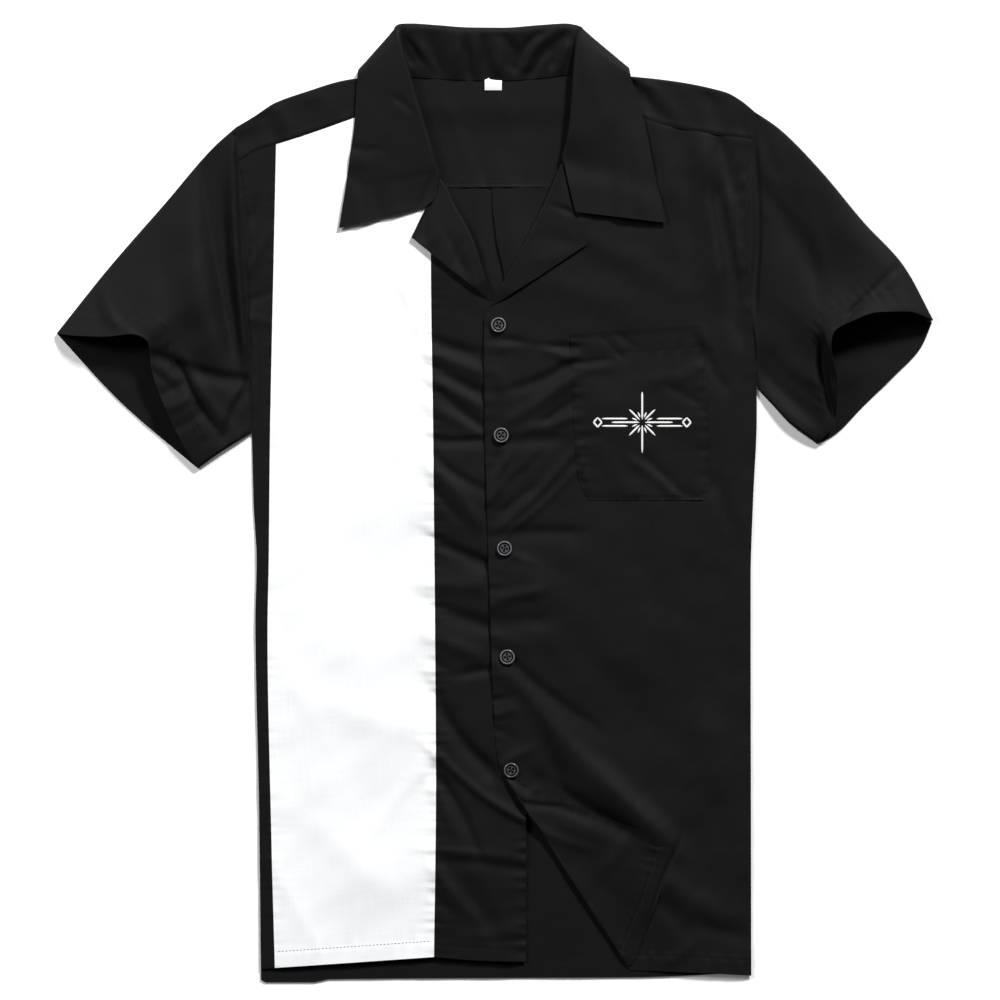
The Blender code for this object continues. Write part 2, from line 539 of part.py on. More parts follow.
def make_back():
    heights, across = BACK_ROW_Y, 5
    shares = (heights - heights[0]) / (heights[-1] - heights[0])
    right = side_line(RIGHT_SIDE, RIGHT_ARMHOLE, shares, BACK_CORNER[1], BACK_TOP_Y)
    left = side_line(LEFT_SIDE, LEFT_ARMHOLE, shares, BACK_LEFT_FOOT_Y, BACK_TOP_Y)
    right[0] = BACK_CORNER
    pleat_x, pleat_z = pleat_columns(heights)
    from_right = np.linspace(0, 1, across + 1)[:-1]
    to_left = np.linspace(0, 1, across + 1)[1:]
    x = np.hstack([right[:, :1] + from_right * (pleat_x[:, :1] - right[:, :1]), pleat_x,
                   pleat_x[:, -1:] + to_left * (left[:, :1] - pleat_x[:, -1:])])
    flat = np.full((len(shares), across), FLOOR_LAYER)
    z = np.hstack([flat, pleat_z, flat])
    hem, seam = at_x(BACK_HEM, x), at_x(BACK_YOKE_SEAM, x)
    y = hem + shares[:, None] * (seam - hem)
    points = trim(raised(np.stack([x, y], axis=-1), z), high=TRIM, left=TRIM, right=TRIM)
    wall("back_panel", points, BLACK)


def spans(ends, counts):
    """Evenly spaced values over several spans in a row, without the shared ends twice."""
    parts = [np.linspace(low, high, count + 1)[1:]
             for low, high, count in zip(ends[:-1], ends[1:], counts)]
    return np.concatenate([[ends[0]], *parts])


def make_yoke():
    """Under layer from the back seam up to the shoulders and neck, then over to the fronts."""
    right, neck, left = 8, 12, 8
    back_steps, front_steps = 5, 3
    shoulder_x = spans(YOKE_SHOULDER_X, (right, neck, left))
    seam_x = spans(YOKE_SEAM_X, (right, neck, left))
    column = np.arange(len(shoulder_x))
    in_neck = (column >= right) & (column <= right + neck)
    corner = (column == right) | (column == right + neck)
    outline = at_x(SHOULDER, shoulder_x)
    fold = np.stack([shoulder_x, outline], axis=-1)
    seam_y = np.where(seam_x < 0, at_x(RIGHT_YOKE_SEAM, np.minimum(seam_x, YOKE_SEAM_X[1])),
                      at_x(LEFT_YOKE_SEAM, np.maximum(seam_x, YOKE_SEAM_X[2])))
    top_z = front_height(shoulder_x, outline)
    under_z = yoke_back_height(shoulder_x, outline)
    radius = (top_z - under_z) / 2
    run_on = np.gradient(fold, axis=0)
    run_on /= np.linalg.norm(run_on, axis=-1, keepdims=True)
    outward = np.stack([-run_on[:, 1], run_on[:, 0]], axis=-1)
    crest = fold - outward * (radius + HALF)[:, None]       # where the half turn starts
    neck_x = np.clip(shoulder_x, YOKE_SHOULDER_X[1], YOKE_SHOULDER_X[2])
    neckline = np.stack([shoulder_x, at_x(BACK_NECK, neck_x)], axis=-1)
    high = np.where((in_neck & ~corner)[:, None], neckline, crest)
    low_x = np.linspace(*YOKE_BACK_X, len(shoulder_x))
    low = np.stack([low_x, at_x(BACK_YOKE_SEAM, low_x)], axis=-1)
    side = np.linspace(0, 1, back_steps + 1)
    left_edge = along(table("x y", low[0], YOKE_RIGHT_BEND, high[0]), side)
    right_edge = along(table("x y", low[-1], YOKE_LEFT_BEND, high[-1]), side)
    under = patch(low, high, left_edge, right_edge)
    under = raised(under, yoke_back_height(under[..., 0], under[..., 1]))
    angles = np.radians(np.linspace(-90, 90, ROLL_STEPS + 1))[1:, None]
    turn_plan = high[None] + outward[None] * (radius * np.cos(angles))[..., None]
    turn = raised(turn_plan, (under_z + radius) + radius * np.sin(angles))
    seam = np.stack([seam_x, seam_y], axis=-1)
    share = (np.arange(1, front_steps + 1) / front_steps)[:, None, None]
    over = high[None] + share * (seam - high)[None]
    over = raised(over, front_height(over[..., 0], over[..., 1]))
    points = np.concatenate([under, turn, over])
    points = trim(points, low=TRIM, high=TRIM, left=TRIM, right=TRIM)
    points[back_steps, in_neck & ~corner, 1] -= TRIM
    keep = np.ones((points.shape[0] - 1, points.shape[1] - 1), bool)
    keep[back_steps:, right:right + neck] = False
    for edge_column, inward in ((right, -TRIM), (right + neck, TRIM)):
        points[back_steps:, edge_column, 0] += inward
    wall("yoke", points, BLACK, keep)


# ------------------------------------------------------------------ the right front
RIGHT_ROWS_BELOW, RIGHT_ROWS_ABOVE = 24, 8      # grid rows below and above the lapel's foot
LAPEL_FOOT_SHARE = 0.825                        # where the foot lies along the two long seams
NECKLINE_BOW = np.array([-6.0, -4.0])           # four times the neckline's bow at its middle
CENTRE_HEM_DROP = 1.0                           # the centre piece's hem hangs a little lower


def right_shares():
    """Row places on the right front's two long seams, shared by its three pieces."""
    return spans((0, LAPEL_FOOT_SHARE, 1), (RIGHT_ROWS_BELOW, RIGHT_ROWS_ABOVE))


def hem_run(start, end, steps):
    return np.linspace(start, end, steps + 1)


def make_right_front():
    shares = right_shares()
    side_seam = along(RIGHT_SIDE_SEAM, shares)
    centre_seam = along(RIGHT_CENTRE_SEAM, shares)
    top_y = RIGHT_YOKE_SEAM["y"][0]
    outer = side_line(RIGHT_SIDE, RIGHT_ARMHOLE, shares, RIGHT_SIDE["y"][0], top_y)

    across = 2
    strip = patch(hem_run(outer[0], side_seam[0], across),
                  hem_run(outer[-1], side_seam[-1], across), outer, side_seam)
    strip[-1, 1:-1, 1] = at_x(RIGHT_YOKE_SEAM, strip[-1, 1:-1, 0])
    strip = trim(strip, high=TRIM, left=TRIM, right=TRIM)
    wall("right_front_side", raised(strip, right_front_height(strip[..., 0], strip[..., 1])), BLACK)

    across, in_neckline = 10, 3
    neck_corner = RIGHT_NECKLINE["x"][0], RIGHT_NECKLINE["y"][0]
    top_x = np.linspace(side_seam[-1, 0], neck_corner[0], across - in_neckline + 1)
    neck_y = np.linspace(neck_corner[1], centre_seam[-1, 1], in_neckline + 1)[1:]
    top = np.concatenate([np.stack([top_x, at_x(RIGHT_YOKE_SEAM, top_x)], axis=-1),
                          np.stack([at_y(RIGHT_NECKLINE, neck_y), neck_y], axis=-1)])
    top[0], top[-1] = side_seam[-1], centre_seam[-1]
    insert = patch(hem_run(side_seam[0], centre_seam[0], across), top, side_seam, centre_seam)
    insert = trim(insert, high=TRIM, left=TRIM, right=TRIM)
    wall("right_front_insert", raised(insert, right_front_height(insert[..., 0], insert[..., 1])), WHITE)
    make_right_centre(centre_seam)


def make_right_centre(centre_seam):
    """Centre piece: straight edge under the left front, then the rolled-back lapel."""
    across = 6
    below, above = RIGHT_ROWS_BELOW, RIGHT_ROWS_ABOVE
    reach = LAPEL_ROLL_RIGHT + HALF
    roll_line, outward = drawn_in(run(RIGHT_ROLL_LINE, above), reach, 1)
    hidden_x = np.append(RIGHT_HIDDEN_EDGE["x"], roll_line[0, 0])
    hidden_y = np.append(RIGHT_HIDDEN_EDGE["y"], roll_line[0, 1])
    edge_y = np.append(np.linspace(hidden_y[0], RIGHT_EDGE_TURNS_Y, below), roll_line[0, 1])
    edge_x = smooth_curve(hidden_y, hidden_x, edge_y)
    edge = np.concatenate([np.stack([edge_x, edge_y], axis=-1), roll_line[1:]])
    low = hem_run(centre_seam[0], edge[0], across)
    low[1:-1, 1] -= CENTRE_HEM_DROP
    high = hem_run(centre_seam[-1], edge[-1], across)
    share = np.linspace(0, 1, across + 1)[:, None]
    high += share * (1 - share) * NECKLINE_BOW
    body = patch(low, high, centre_seam, edge)
    body = trim(body, high=TRIM, left=TRIM)
    outer = along(RIGHT_LAPEL_EDGE, np.linspace(0, 1, above + 1))
    roll_line = roll_line.copy()
    roll_line[-1] = body[-1, -1]
    plan, rise = turned_flap(roll_line, outward, outer, LAPEL_ROLL_RIGHT, FLAP_COLUMNS)
    flat_columns = FLAP_COLUMNS - ROLL_STEPS
    plan[-1, ROLL_STEPS:] = along(RIGHT_GORGE, np.arange(1, flat_columns + 1) / flat_columns)
    flap = np.zeros((below + above + 1, FLAP_COLUMNS, 2))
    flap[below:] = plan
    flap_rise = np.zeros((below + above + 1, FLAP_COLUMNS))
    flap_rise[below:] = rise
    points = np.concatenate([body, flap], axis=1)
    height = right_front_height(points[..., 0], points[..., 1])
    height[:, across + 1:] += flap_rise
    keep = np.ones((below + above, across + FLAP_COLUMNS), bool)
    keep[:below, across:] = False
    wall("right_front_centre", raised(points, height), BLACK, keep)


# ------------------------------------------------------------------ the left front
LEFT_CORNER_ROWS, LEFT_EDGE_ROWS, LEFT_LAPEL_ROWS, LEFT_NECK_ROWS = 12, 18, 8, 5
LEFT_ACROSS = 15
CORNER_FIRST = 0.03                 # share of the corner's fold before its first inner row


def make_left_front():
    """Folded-back corner, front edge, lapel and neckline make up its inner side."""
    corner, edge, lapel, neck = LEFT_CORNER_ROWS, LEFT_EDGE_ROWS, LEFT_LAPEL_ROWS, LEFT_NECK_ROWS
    from_hem = spans((0, CORNER_FIRST, 1 - CORNER_FIRST, 1), (1, corner - 2, 1))
    fold_line, fold_outward = drawn_in(along(CORNER_FOLD_LINE, 1 - from_hem), CORNER_ROLL + HALF, -1)
    roll_line, roll_outward = drawn_in(run(LEFT_ROLL_LINE, lapel), LAPEL_ROLL_LEFT + HALF, -1)
    front_edge = run(LEFT_FRONT_EDGE, edge)
    front_edge[0], front_edge[-1] = fold_line[-1], roll_line[0]
    neckline = run(LEFT_NECKLINE, neck)
    inner = np.concatenate([fold_line, front_edge[1:], roll_line[1:], neckline[1:]])
    shares = (inner[:, 1] - inner[0, 1]) / (inner[-1, 1] - inner[0, 1])
    outer = side_line(LEFT_SIDE, LEFT_ARMHOLE, shares, LEFT_SIDE["y"][0], LEFT_FRONT_TOP_Y)
    low = hem_run(inner[0], outer[0], LEFT_ACROSS)
    high_x = np.linspace(inner[-1, 0], outer[-1, 0], LEFT_ACROSS + 1)
    high = np.stack([high_x, at_x(LEFT_YOKE_SEAM, high_x)], axis=-1)
    body = patch(low, high, inner, outer)
    body = trim(body, high=TRIM, right=TRIM)
    body[-neck:, 0, 0] += TRIM

    rows = corner + edge + lapel + neck + 1
    flap, rise = np.zeros((rows, FLAP_COLUMNS, 2)), np.zeros((rows, FLAP_COLUMNS))
    outline = along(CORNER_EDGE, 1 - from_hem)
    flap[:corner + 1], rise[:corner + 1] = turned_flap(
        fold_line, fold_outward, outline, CORNER_ROLL, FLAP_COLUMNS)
    start, stop = corner + edge, corner + edge + lapel + 1
    outline = along(LEFT_LAPEL_EDGE, np.linspace(0, 1, lapel + 1))
    flap[start:stop], rise[start:stop] = turned_flap(
        roll_line, roll_outward, outline, LAPEL_ROLL_LEFT, FLAP_COLUMNS)
    points = np.concatenate([flap[:, ::-1], body], axis=1)
    height = left_front_height(points[..., 0], points[..., 1])
    height[:, :FLAP_COLUMNS] += rise[:, ::-1]
    keep = np.zeros((rows - 1, FLAP_COLUMNS + LEFT_ACROSS), bool)
    keep[:, FLAP_COLUMNS:] = True
    keep[1:corner - 1, :FLAP_COLUMNS] = True
    keep[start:stop - 1, :FLAP_COLUMNS] = True
    wall("left_front", raised(points, height), BLACK, keep)


def make_pocket():
    """A patch with cut lower corners, a layer above the left front."""
    across, up = 8, 10
    inner, outer = run(POCKET_INNER_SIDE, up), run(POCKET_OUTER_SIDE, up)
    plan = patch(hem_run(inner[0], outer[0], across), hem_run(inner[-1], outer[-1], across),
                 inner, outer)
    height = left_front_height(plan[..., 0], plan[..., 1]) + STEP + POCKET_CLEARANCE
    wall("pocket", raised(plan, height), BLACK)


# ------------------------------------------------------------------ the collar
def make_collar():
    row = np.arange(len(COLLAR["turn"]))
    places = [0.0]
    for index, steps in enumerate(COLLAR["steps"][:-1]):
        places += list(index + np.arange(1, int(steps) + 1) / steps)
    places = np.array(places)
    value = {name: smooth_curve(row, COLLAR[name], places) for name in COLLAR if name != "steps"}
    seam, crest, edge = (np.stack([value[part + axis] for axis in ("_x", "_y", "_z")], axis=-1)
                         for part in ("seam", "roll", "edge"))
    up_stand = crest[:, :2] - seam[:, :2]
    up_stand = np.pad(up_stand / np.linalg.norm(up_stand, axis=-1, keepdims=True), ((0, 0), (0, 1)))
    side = np.stack([up_stand[:, 1], -up_stand[:, 0], 0 * up_stand[:, 0]], axis=-1)
    outwards = np.sign(edge[:, :1] - seam[:, :1])
    side *= np.where(side[:, :1] * outwards < 0, -1, 1)
    turn = np.radians(value["turn"])[:, None]
    over = np.cos(turn) * side + np.sin(turn) * np.array([0, 0, 1.0])
    radius = value["radius"][:, None]
    centre = crest - radius * up_stand
    angles = np.linspace(0, np.pi, ROLL_STEPS + 1)
    roll = np.stack([centre + radius * (up_stand * np.sin(angle) - over * np.cos(angle))
                     for angle in angles], axis=1)
    gorge = (places < COLLAR_GORGE_ROWS) | (places > row[-1] - COLLAR_GORGE_ROWS)
    roll[gorge] = seam[gorge][:, None]
    share = np.linspace(0, 1, COLLAR_STAND_STEPS + 1)[:-1, None]
    stand = seam[:, None] + share * (roll[:, :1] - seam[:, None])
    share = np.linspace(0, 1, COLLAR_LEAF_STEPS + 1)[1:, None]
    leaf = roll[:, -1:] + share * (edge[:, None] - roll[:, -1:])
    points = np.concatenate([stand, roll, leaf], axis=1)
    keep = np.ones((len(places) - 1, points.shape[1] - 1), bool)
    inner = COLLAR_STAND_STEPS + ROLL_STEPS
    keep[:, :inner] = ~(gorge[:-1] | gorge[1:])[:, None]
    wall("collar", points, BLACK, keep)


# ------------------------------------------------------------------ sleeves, buttons, label
def make_sleeve(name, sleeve):
    """A tube of rings: each has a flat under half, a raised upper half and two turns."""
    rings = np.linspace(0, 1, SLEEVE_RINGS)
    upper = np.linspace(0, 1, SLEEVE_FRONT_STEPS + 1)
    lower = np.linspace(0, 1, SLEEVE_BACK_STEPS + 1)
    armhole_xy = along(sleeve["armhole"], upper)
    mouth = along(sleeve["mouth_front"], upper)
    armhole_z = front_height(armhole_xy[:, 0], armhole_xy[:, 1])
    late = rings[:, None]**SLEEVE_MOUTH_POWER
    front_z = armhole_z + late * (mouth[:, 2] - armhole_z)
    swell = np.sin(np.pi * rings[:, None] * SLEEVE_SWELL_RUN)
    front_z += SLEEVE_SWELL * swell * np.abs(np.sin(np.pi * upper))**SLEEVE_SWELL_POWER
    shoulder, underarm = along(sleeve["shoulder"], rings), along(sleeve["underarm"], rings)
    front = patch(armhole_xy, mouth[:, :2], shoulder, underarm)
    back = patch(along(sleeve["armhole"], lower), along(sleeve["mouth_back"], lower), shoulder,
                 underarm)
    faded = np.clip(upper, SLEEVE_EDGE_SHARE, 1 - SLEEVE_EDGE_SHARE)
    fade = np.sin(np.pi * faded)**SLEEVE_FADE_POWER
    front_z += fold_height(sleeve["folds"], front[..., 0], front[..., 1]) * fade
    front_z = np.maximum(front_z, FRONT_LAYER)
    turns = []
    for line, column, inward in ((shoulder, 0, underarm - shoulder),
                                 (underarm, -1, shoulder - underarm)):
        run_on = np.gradient(line, axis=0)
        run_on /= np.linalg.norm(run_on, axis=-1, keepdims=True)
        outward = np.stack([-run_on[:, 1], run_on[:, 0]], axis=-1)
        outward *= -np.sign((outward * inward).sum(axis=-1, keepdims=True))
        radius = (front_z[:, column] - FLOOR_LAYER) / 2
        start = line - outward * (radius + HALF)[:, None]
        front[:, column], back[:, column] = start, start
        angles = np.radians(np.linspace(-90, 90, ROLL_STEPS + 1))[1:-1]
        turn_plan = start[:, None] + outward[:, None] * (radius[:, None] * np.cos(angles))[..., None]
        turn_z = FLOOR_LAYER + radius[:, None] * (1 + np.sin(angles))
        turns.append(raised(turn_plan, turn_z))
    over = raised(front, front_z)
    under = raised(back, np.full(back.shape[:2], FLOOR_LAYER))
    points = np.concatenate([over, turns[1][:, ::-1], under[:, ::-1], turns[0]], axis=1)
    away = points[1] - points[0]
    points[0] += 2 * TRIM * away / np.linalg.norm(away, axis=-1, keepdims=True)
    wall(name, points, BLACK, wrap=True)


def make_button(number, x, y):
    """A turned disc with a raised rim and a dished middle, then four holes cut through."""
    base = top_of_left_front(x, y) + GAP
    outer = BUTTON_DIAMETER / 2
    profile = table(
        "radius height",
        (outer - BUTTON_FOOT_INSET, 0),
        (outer, BUTTON_EDGE_LOW),
        (outer, BUTTON_EDGE_HIGH),
        (outer - BUTTON_TOP_INSET, BUTTON_HEIGHT),
        (outer - BUTTON_RIM, BUTTON_HEIGHT),
        (outer - BUTTON_RIM - BUTTON_DISH_SLOPE, BUTTON_HEIGHT - BUTTON_DISH),
    )
    turn = 2 * np.pi * np.arange(BUTTON_SIDES) / BUTTON_SIDES
    radius = profile["radius"][:, None]
    rings = np.stack([radius * np.cos(turn), radius * np.sin(turn),
                      profile["height"][:, None] + 0 * turn], axis=-1)
    centre = np.array([x, y, base])
    first_of_top = (len(rings) - 1) * BUTTON_SIDES
    faces = [list(range(BUTTON_SIDES))[::-1],
             [first_of_top + side for side in range(BUTTON_SIDES)]]
    for start in range(0, first_of_top, BUTTON_SIDES):
        for side in range(BUTTON_SIDES):
            following = (side + 1) % BUTTON_SIDES
            faces.append([start + side, start + following, start + BUTTON_SIDES + following,
                          start + BUTTON_SIDES + side])
    button = add_object(f"button_{number}", rings.reshape(-1, 3) + centre, faces, BUTTON_BLACK, 0.35)
    spread = BUTTON_HOLE_SPACING / 2
    for index, (across, up) in enumerate(((-1, -1), (1, -1), (1, 1), (-1, 1))):
        bpy.ops.mesh.primitive_cylinder_add(
            vertices=HOLE_SIDES, radius=BUTTON_HOLE * MM, depth=3 * BUTTON_HEIGHT * MM,
            location=(centre - BOX_CENTRE + (across * spread, up * spread, BUTTON_HEIGHT / 2)) * MM)
        drill = bpy.context.active_object
        drill.name = f"drill_{number}_{index}"
        drill.hide_render = True
        drill.display_type = "WIRE"
        cut = button.modifiers.new(f"hole_{index}", "BOOLEAN")
        cut.operation = "DIFFERENCE"
        cut.object = drill


def top_of_left_front(x, y):
    """The highest the left front's outer side reaches under a button."""
    turn = np.linspace(0, 2 * np.pi, 13)
    reach = BUTTON_DIAMETER / 2
    heights = left_front_height(x + reach * np.cos(turn), y + reach * np.sin(turn))
    return max(heights.max(), float(left_front_height(x, y))) + HALF


def make_label():
    label = SIZE_LABEL
    half_width, half_height = label["width"] / 2, label["height"] / 2
    plan = np.array([[(label["x"] + across * half_width, label["y"] + up * half_height)
                      for across in (-1, 1)] for up in (-1, 1)], float)
    level = FLOOR_LAYER + 2 * STEP      # on the yoke and the collar's stand
    wall("size_label", raised(plan, np.full((2, 2), level)), LABEL_WHITE)


for leftover in list(bpy.data.objects):
    bpy.data.objects.remove(leftover, do_unlink=True)
make_back()
make_yoke()
make_right_front()
make_left_front()
make_pocket()
make_collar()
make_sleeve("sleeve_right", RIGHT_SLEEVE)
make_sleeve("sleeve_left", LEFT_SLEEVE)
for number, (x, y) in enumerate(zip(BUTTON_CENTRES["x"], BUTTON_CENTRES["y"]), start=1):
    make_button(number, x, y)
make_label()
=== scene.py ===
import json
import bmesh
import bpy
import numpy as np
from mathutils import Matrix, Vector
from mathutils.bvhtree import BVHTree

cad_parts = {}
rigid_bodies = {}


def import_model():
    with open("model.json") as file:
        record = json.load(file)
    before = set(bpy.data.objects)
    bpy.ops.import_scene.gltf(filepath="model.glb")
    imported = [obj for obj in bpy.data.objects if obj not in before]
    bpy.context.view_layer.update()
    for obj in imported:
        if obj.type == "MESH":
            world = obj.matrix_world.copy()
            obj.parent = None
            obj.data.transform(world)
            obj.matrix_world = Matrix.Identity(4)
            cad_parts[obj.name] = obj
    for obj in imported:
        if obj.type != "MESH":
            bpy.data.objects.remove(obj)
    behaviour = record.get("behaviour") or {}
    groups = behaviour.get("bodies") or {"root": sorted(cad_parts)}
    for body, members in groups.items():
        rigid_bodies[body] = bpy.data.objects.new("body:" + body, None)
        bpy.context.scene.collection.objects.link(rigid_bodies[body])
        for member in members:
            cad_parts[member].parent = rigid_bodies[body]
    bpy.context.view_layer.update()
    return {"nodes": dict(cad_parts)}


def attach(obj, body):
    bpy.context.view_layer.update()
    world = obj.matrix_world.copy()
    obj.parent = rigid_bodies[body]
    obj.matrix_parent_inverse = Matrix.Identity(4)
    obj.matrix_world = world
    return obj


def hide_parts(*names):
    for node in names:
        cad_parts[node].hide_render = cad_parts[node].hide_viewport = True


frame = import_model()
print("frame loaded:", len(frame["nodes"]), "solids")

# Sizes are millimetres in the shirt's own frame: x to the wearer's left, y to the collar, z up.
mm = 0.001
boxCentre = np.array([0.25, -0.48, 0.0])    # taken off every point, as on the solids
fine = 1.0           # share of the full grid density
clothThickness = 0.42                       # poplin, a little over life so that its edges show
sharpAngle = np.radians(48)                 # edges that turn more than this stay crisp
nothing = 1e-9                              # keeps a length from being divided by zero


# curves and tables
def rowsOf(names, *rows):
    # a short table: each named column becomes an array down the rows
    return dict(zip(names.split(), np.array(rows, float).T))


def smoothCurve(known, values, wanted):
    # cubic through the known values, its slopes the harmonic means of the neighbouring
    # slopes and level at every turning point, so it never overshoots
    known, values = np.asarray(known, float), np.asarray(values, float)
    widths = np.diff(known)
    slopes = np.diff(values) / widths
    tangents = np.empty_like(values)
    tangents[0], tangents[-1] = slopes[0], slopes[-1]
    agree = slopes[:-1] * slopes[1:] > 0
    sums = np.where(agree, slopes[:-1] + slopes[1:], 1.0)
    tangents[1:-1] = np.where(agree, 2 * slopes[:-1] * slopes[1:] / sums, 0.0)
    cell = np.clip(np.searchsorted(known, wanted) - 1, 0, len(widths) - 1)
    t = (np.asarray(wanted, float) - known[cell]) / widths[cell]
    w = widths[cell]
    return ((2 * t**3 - 3 * t**2 + 1) * values[cell] + (t**3 - 2 * t**2 + t) * w * tangents[cell]
            + (3 * t**2 - 2 * t**3) * values[cell + 1] + (t**3 - t**2) * w * tangents[cell + 1])


def along(line, shares):
    # points of a line at these shares of its length, or of its own share column
    if "share" in line:
        known = line["share"]
    else:
        known = np.concatenate([[0], np.cumsum(np.hypot(np.diff(line["x"]), np.diff(line["y"])))])
        known = known / known[-1]
    names = [name for name in ("x", "y", "z") if name in line]
    return np.stack([smoothCurve(known, line[name], shares) for name in names], axis=-1)


def cornered(line, shares):
    # the same with straight runs and sharp corners
    return np.stack([np.interp(shares, line["share"], line[name]) for name in "xy"], axis=-1)


def atX(line, x):
    # y of a line that runs left to right, at these x
    order = np.argsort(line["x"])
    return smoothCurve(line["x"][order], line["y"][order], x)


def atY(line, y):
    # x of a line that runs up or down, at these y
    order = np.argsort(line["y"])
    return smoothCurve(line["y"][order], line["x"][order], y)


def ease(value, low, high):
    # 0 below low, 1 above high, and t*t*(3-2t) between
    t = np.clip((value - low) / (high - low), 0, 1)
    return t * t * (3 - 2 * t)


def steps(count):
    # a count of steps at the present density
    return max(2, int(round(count * fine)))


def spans(start, *ends):
    # values from start on: each (end, count) adds a span evenly divided
    values = [np.array([start], float)]
    for end, count in ends:
        values.append(np.linspace(values[-1][-1], end, steps(count) + 1)[1:])
    return np.concatenate(values)


def runLengths(points):
    # the length of a path up to each of its points
    return np.concatenate([[0], np.cumsum(np.linalg.norm(np.diff(points, axis=0), axis=-1))])


def sampled(values, run, places):
    # each column of values, known along run, at these places on straight lines between
    return np.stack([np.interp(places, run, column) for column in values.T], axis=-1)


def unit(vectors):
    # each vector over its own length
    return vectors / np.maximum(np.linalg.norm(vectors, axis=-1, keepdims=True), nothing)


def leftOf(path):
    # unit plan vectors to a path's left: its way ahead, turned a quarter
    ahead = unit(np.gradient(path, axis=0))
    return np.stack([-ahead[:, 1], ahead[:, 0]], axis=-1)


# cloth surfaces
def foldHeight(folds, x, y, drift=0.4):
    # each fold: a bell across a bowed line from (x0, y0) to (x1, y1), its height running from
    # start to end, its width wider on one side by lean, fading out past both ends; the tables
    # give the flank that the light picks out, and the fold lies drift widths towards -x and -y
    total = np.zeros(np.shape(x))
    for x0, y0, x1, y1, bow, width, lean, start, end in zip(*folds.values()):
        x0, y0, x1, y1 = (value - drift * width for value in (x0, y0, x1, y1))
        runX, runY = x1 - x0, y1 - y0
        length = np.hypot(runX, runY)
        share = ((x - x0) * runX + (y - y0) * runY) / length**2
        inside = np.clip(share, 0, 1)
        across = ((x - x0) * runY - (y - y0) * runX) / length - bow * 4 * inside * (1 - inside)
        past = np.maximum(0, np.maximum(-share, share - 1)) * length
        side = width * (1 + lean * np.sign(across))
        bell = np.exp(-(across / side)**2 - (past / (1.3 * width + 0.12 * length))**2)
        total += (start + (end - start) * inside) * bell
    return total


def foldTable(*rows):
    # a row for each fold: where it starts and ends, its bow and width, how much wider its one
    # side is than its other, and its height at the start and at the end (below 0: a trough)
    return rowsOf("x0 y0 x1 y1 bow width lean start end", *rows)


def crumple(x, y, amount, size, seed):
    # soft uneven waviness: nine sine waves in random directions, near one wavelength
    rng = np.random.default_rng(seed)
    total = np.zeros(np.shape(x))
    for _ in range(9):
        turn, phase = rng.uniform(0, np.pi), rng.uniform(0, 2 * np.pi)
        k = 2 * np.pi / (size * rng.uniform(0.6, 1.7))
        total += np.sin(k * (x * np.cos(turn) + y * np.sin(turn)) + phase)
    return amount * total / 3


def pucker(run, across, pitch, depth, reach, seed):
    # ripples along a seam: sines of uneven pitch along it, dying away across it
    rng = np.random.default_rng(seed)
    total = np.zeros(np.shape(run))
    for _ in range(6):
        k = 2 * np.pi / (pitch * rng.uniform(0.6, 2.2))
        total += np.sin(k * run + rng.uniform(0, 2 * np.pi) + 0.4 * np.sin(k * run / 2.7))
    return depth * total / 2.4 * np.exp(-np.abs(across) / reach)


def ridge(across, height, width):
    # a bell of this height across a line
    return height * np.exp(-(across / width)**2)


def groove(across, depth, width):
    # the same, sunk
    return -ridge(across, depth, width)


def patch(low, high, left, right):
    # Coons patch: the two ruled surfaces between opposite edges, less the corners' plane
    u = np.linspace(0, 1, len(low))[None, :, None]
    v = np.linspace(0, 1, len(left))[:, None, None]
    ruled = (1 - v) * low[None] + v * high[None] + (1 - u) * left[:, None] + u * right[:, None]
    corners = ((1 - v) * ((1 - u) * low[0] + u * low[-1])
               + v * ((1 - u) * high[0] + u * high[-1]))
    return ruled - corners


def drawnIn(linePoints, distance, side):
    # a line moved sideways, to its left where side is 1, and the way back out from it
    sideways = side * leftOf(linePoints)
    return linePoints + distance * sideways, -sideways


def turnedFlap(inner, outward, outer, radius, rollSteps, flatSteps):
    # cloth leaves the fold line outwards, goes round half a circle and runs back to the outer
    # edge; gives the plan points and how far each stands above the cloth beneath
    angle = np.pi * np.arange(1, rollSteps + 1) / rollSteps
    flat = np.arange(1, flatSteps + 1) / flatSteps
    radius = radius[:, None]
    roll = inner[:, None] + outward[:, None] * (radius * np.sin(angle))[..., None]
    back = inner[:, None] + flat[None, :, None] * (outer - inner)[:, None]
    rise = np.hstack([radius * (1 - np.cos(angle)), 2 * radius + 0 * flat])
    return np.concatenate([roll, back], axis=1), rise


def raised(plan, height):
    # plan points with their heights
    return np.concatenate([plan, height[..., None]], axis=-1)


def gridNormals(points, keep=None, wrap=False):
    # mean of the normals of the cells round each point
    columns = points.shape[1]
    ahead = np.roll(points, -1, axis=1) if wrap else points[:, 1:]
    here = points if wrap else points[:, :-1]
    faces = unit(np.cross(ahead[1:] - here[:-1], here[1:] - ahead[:-1]))
    if keep is not None:
        faces = faces * keep[..., None]
    total = np.zeros(points.shape)
    for down in (0, 1):
        for over in (0, 1):
            there = (np.arange(faces.shape[1]) + over) % columns
            total[down:down + faces.shape[0], there] += faces
    return unit(total)


def flatCoordinates(points, zeroColumn, wrap):
    # lengths along the cloth itself, in metres: across from zeroColumn, and up that column;
    # a ring gets one more column, where it closes
    if wrap:
        points = np.concatenate([points, points[:, :1]], axis=1)
    across = np.linalg.norm(np.diff(points, axis=1), axis=-1)
    u = np.pad(np.cumsum(across, axis=1), ((0, 0), (1, 0)))
    u = u - u[:, zeroColumn:zeroColumn + 1]
    up = np.linalg.norm(np.diff(points[:, zeroColumn], axis=0), axis=-1)
    v = np.broadcast_to(np.pad(np.cumsum(up), (1, 0))[:, None], u.shape)
    return np.stack([u, v], axis=-1) * mm


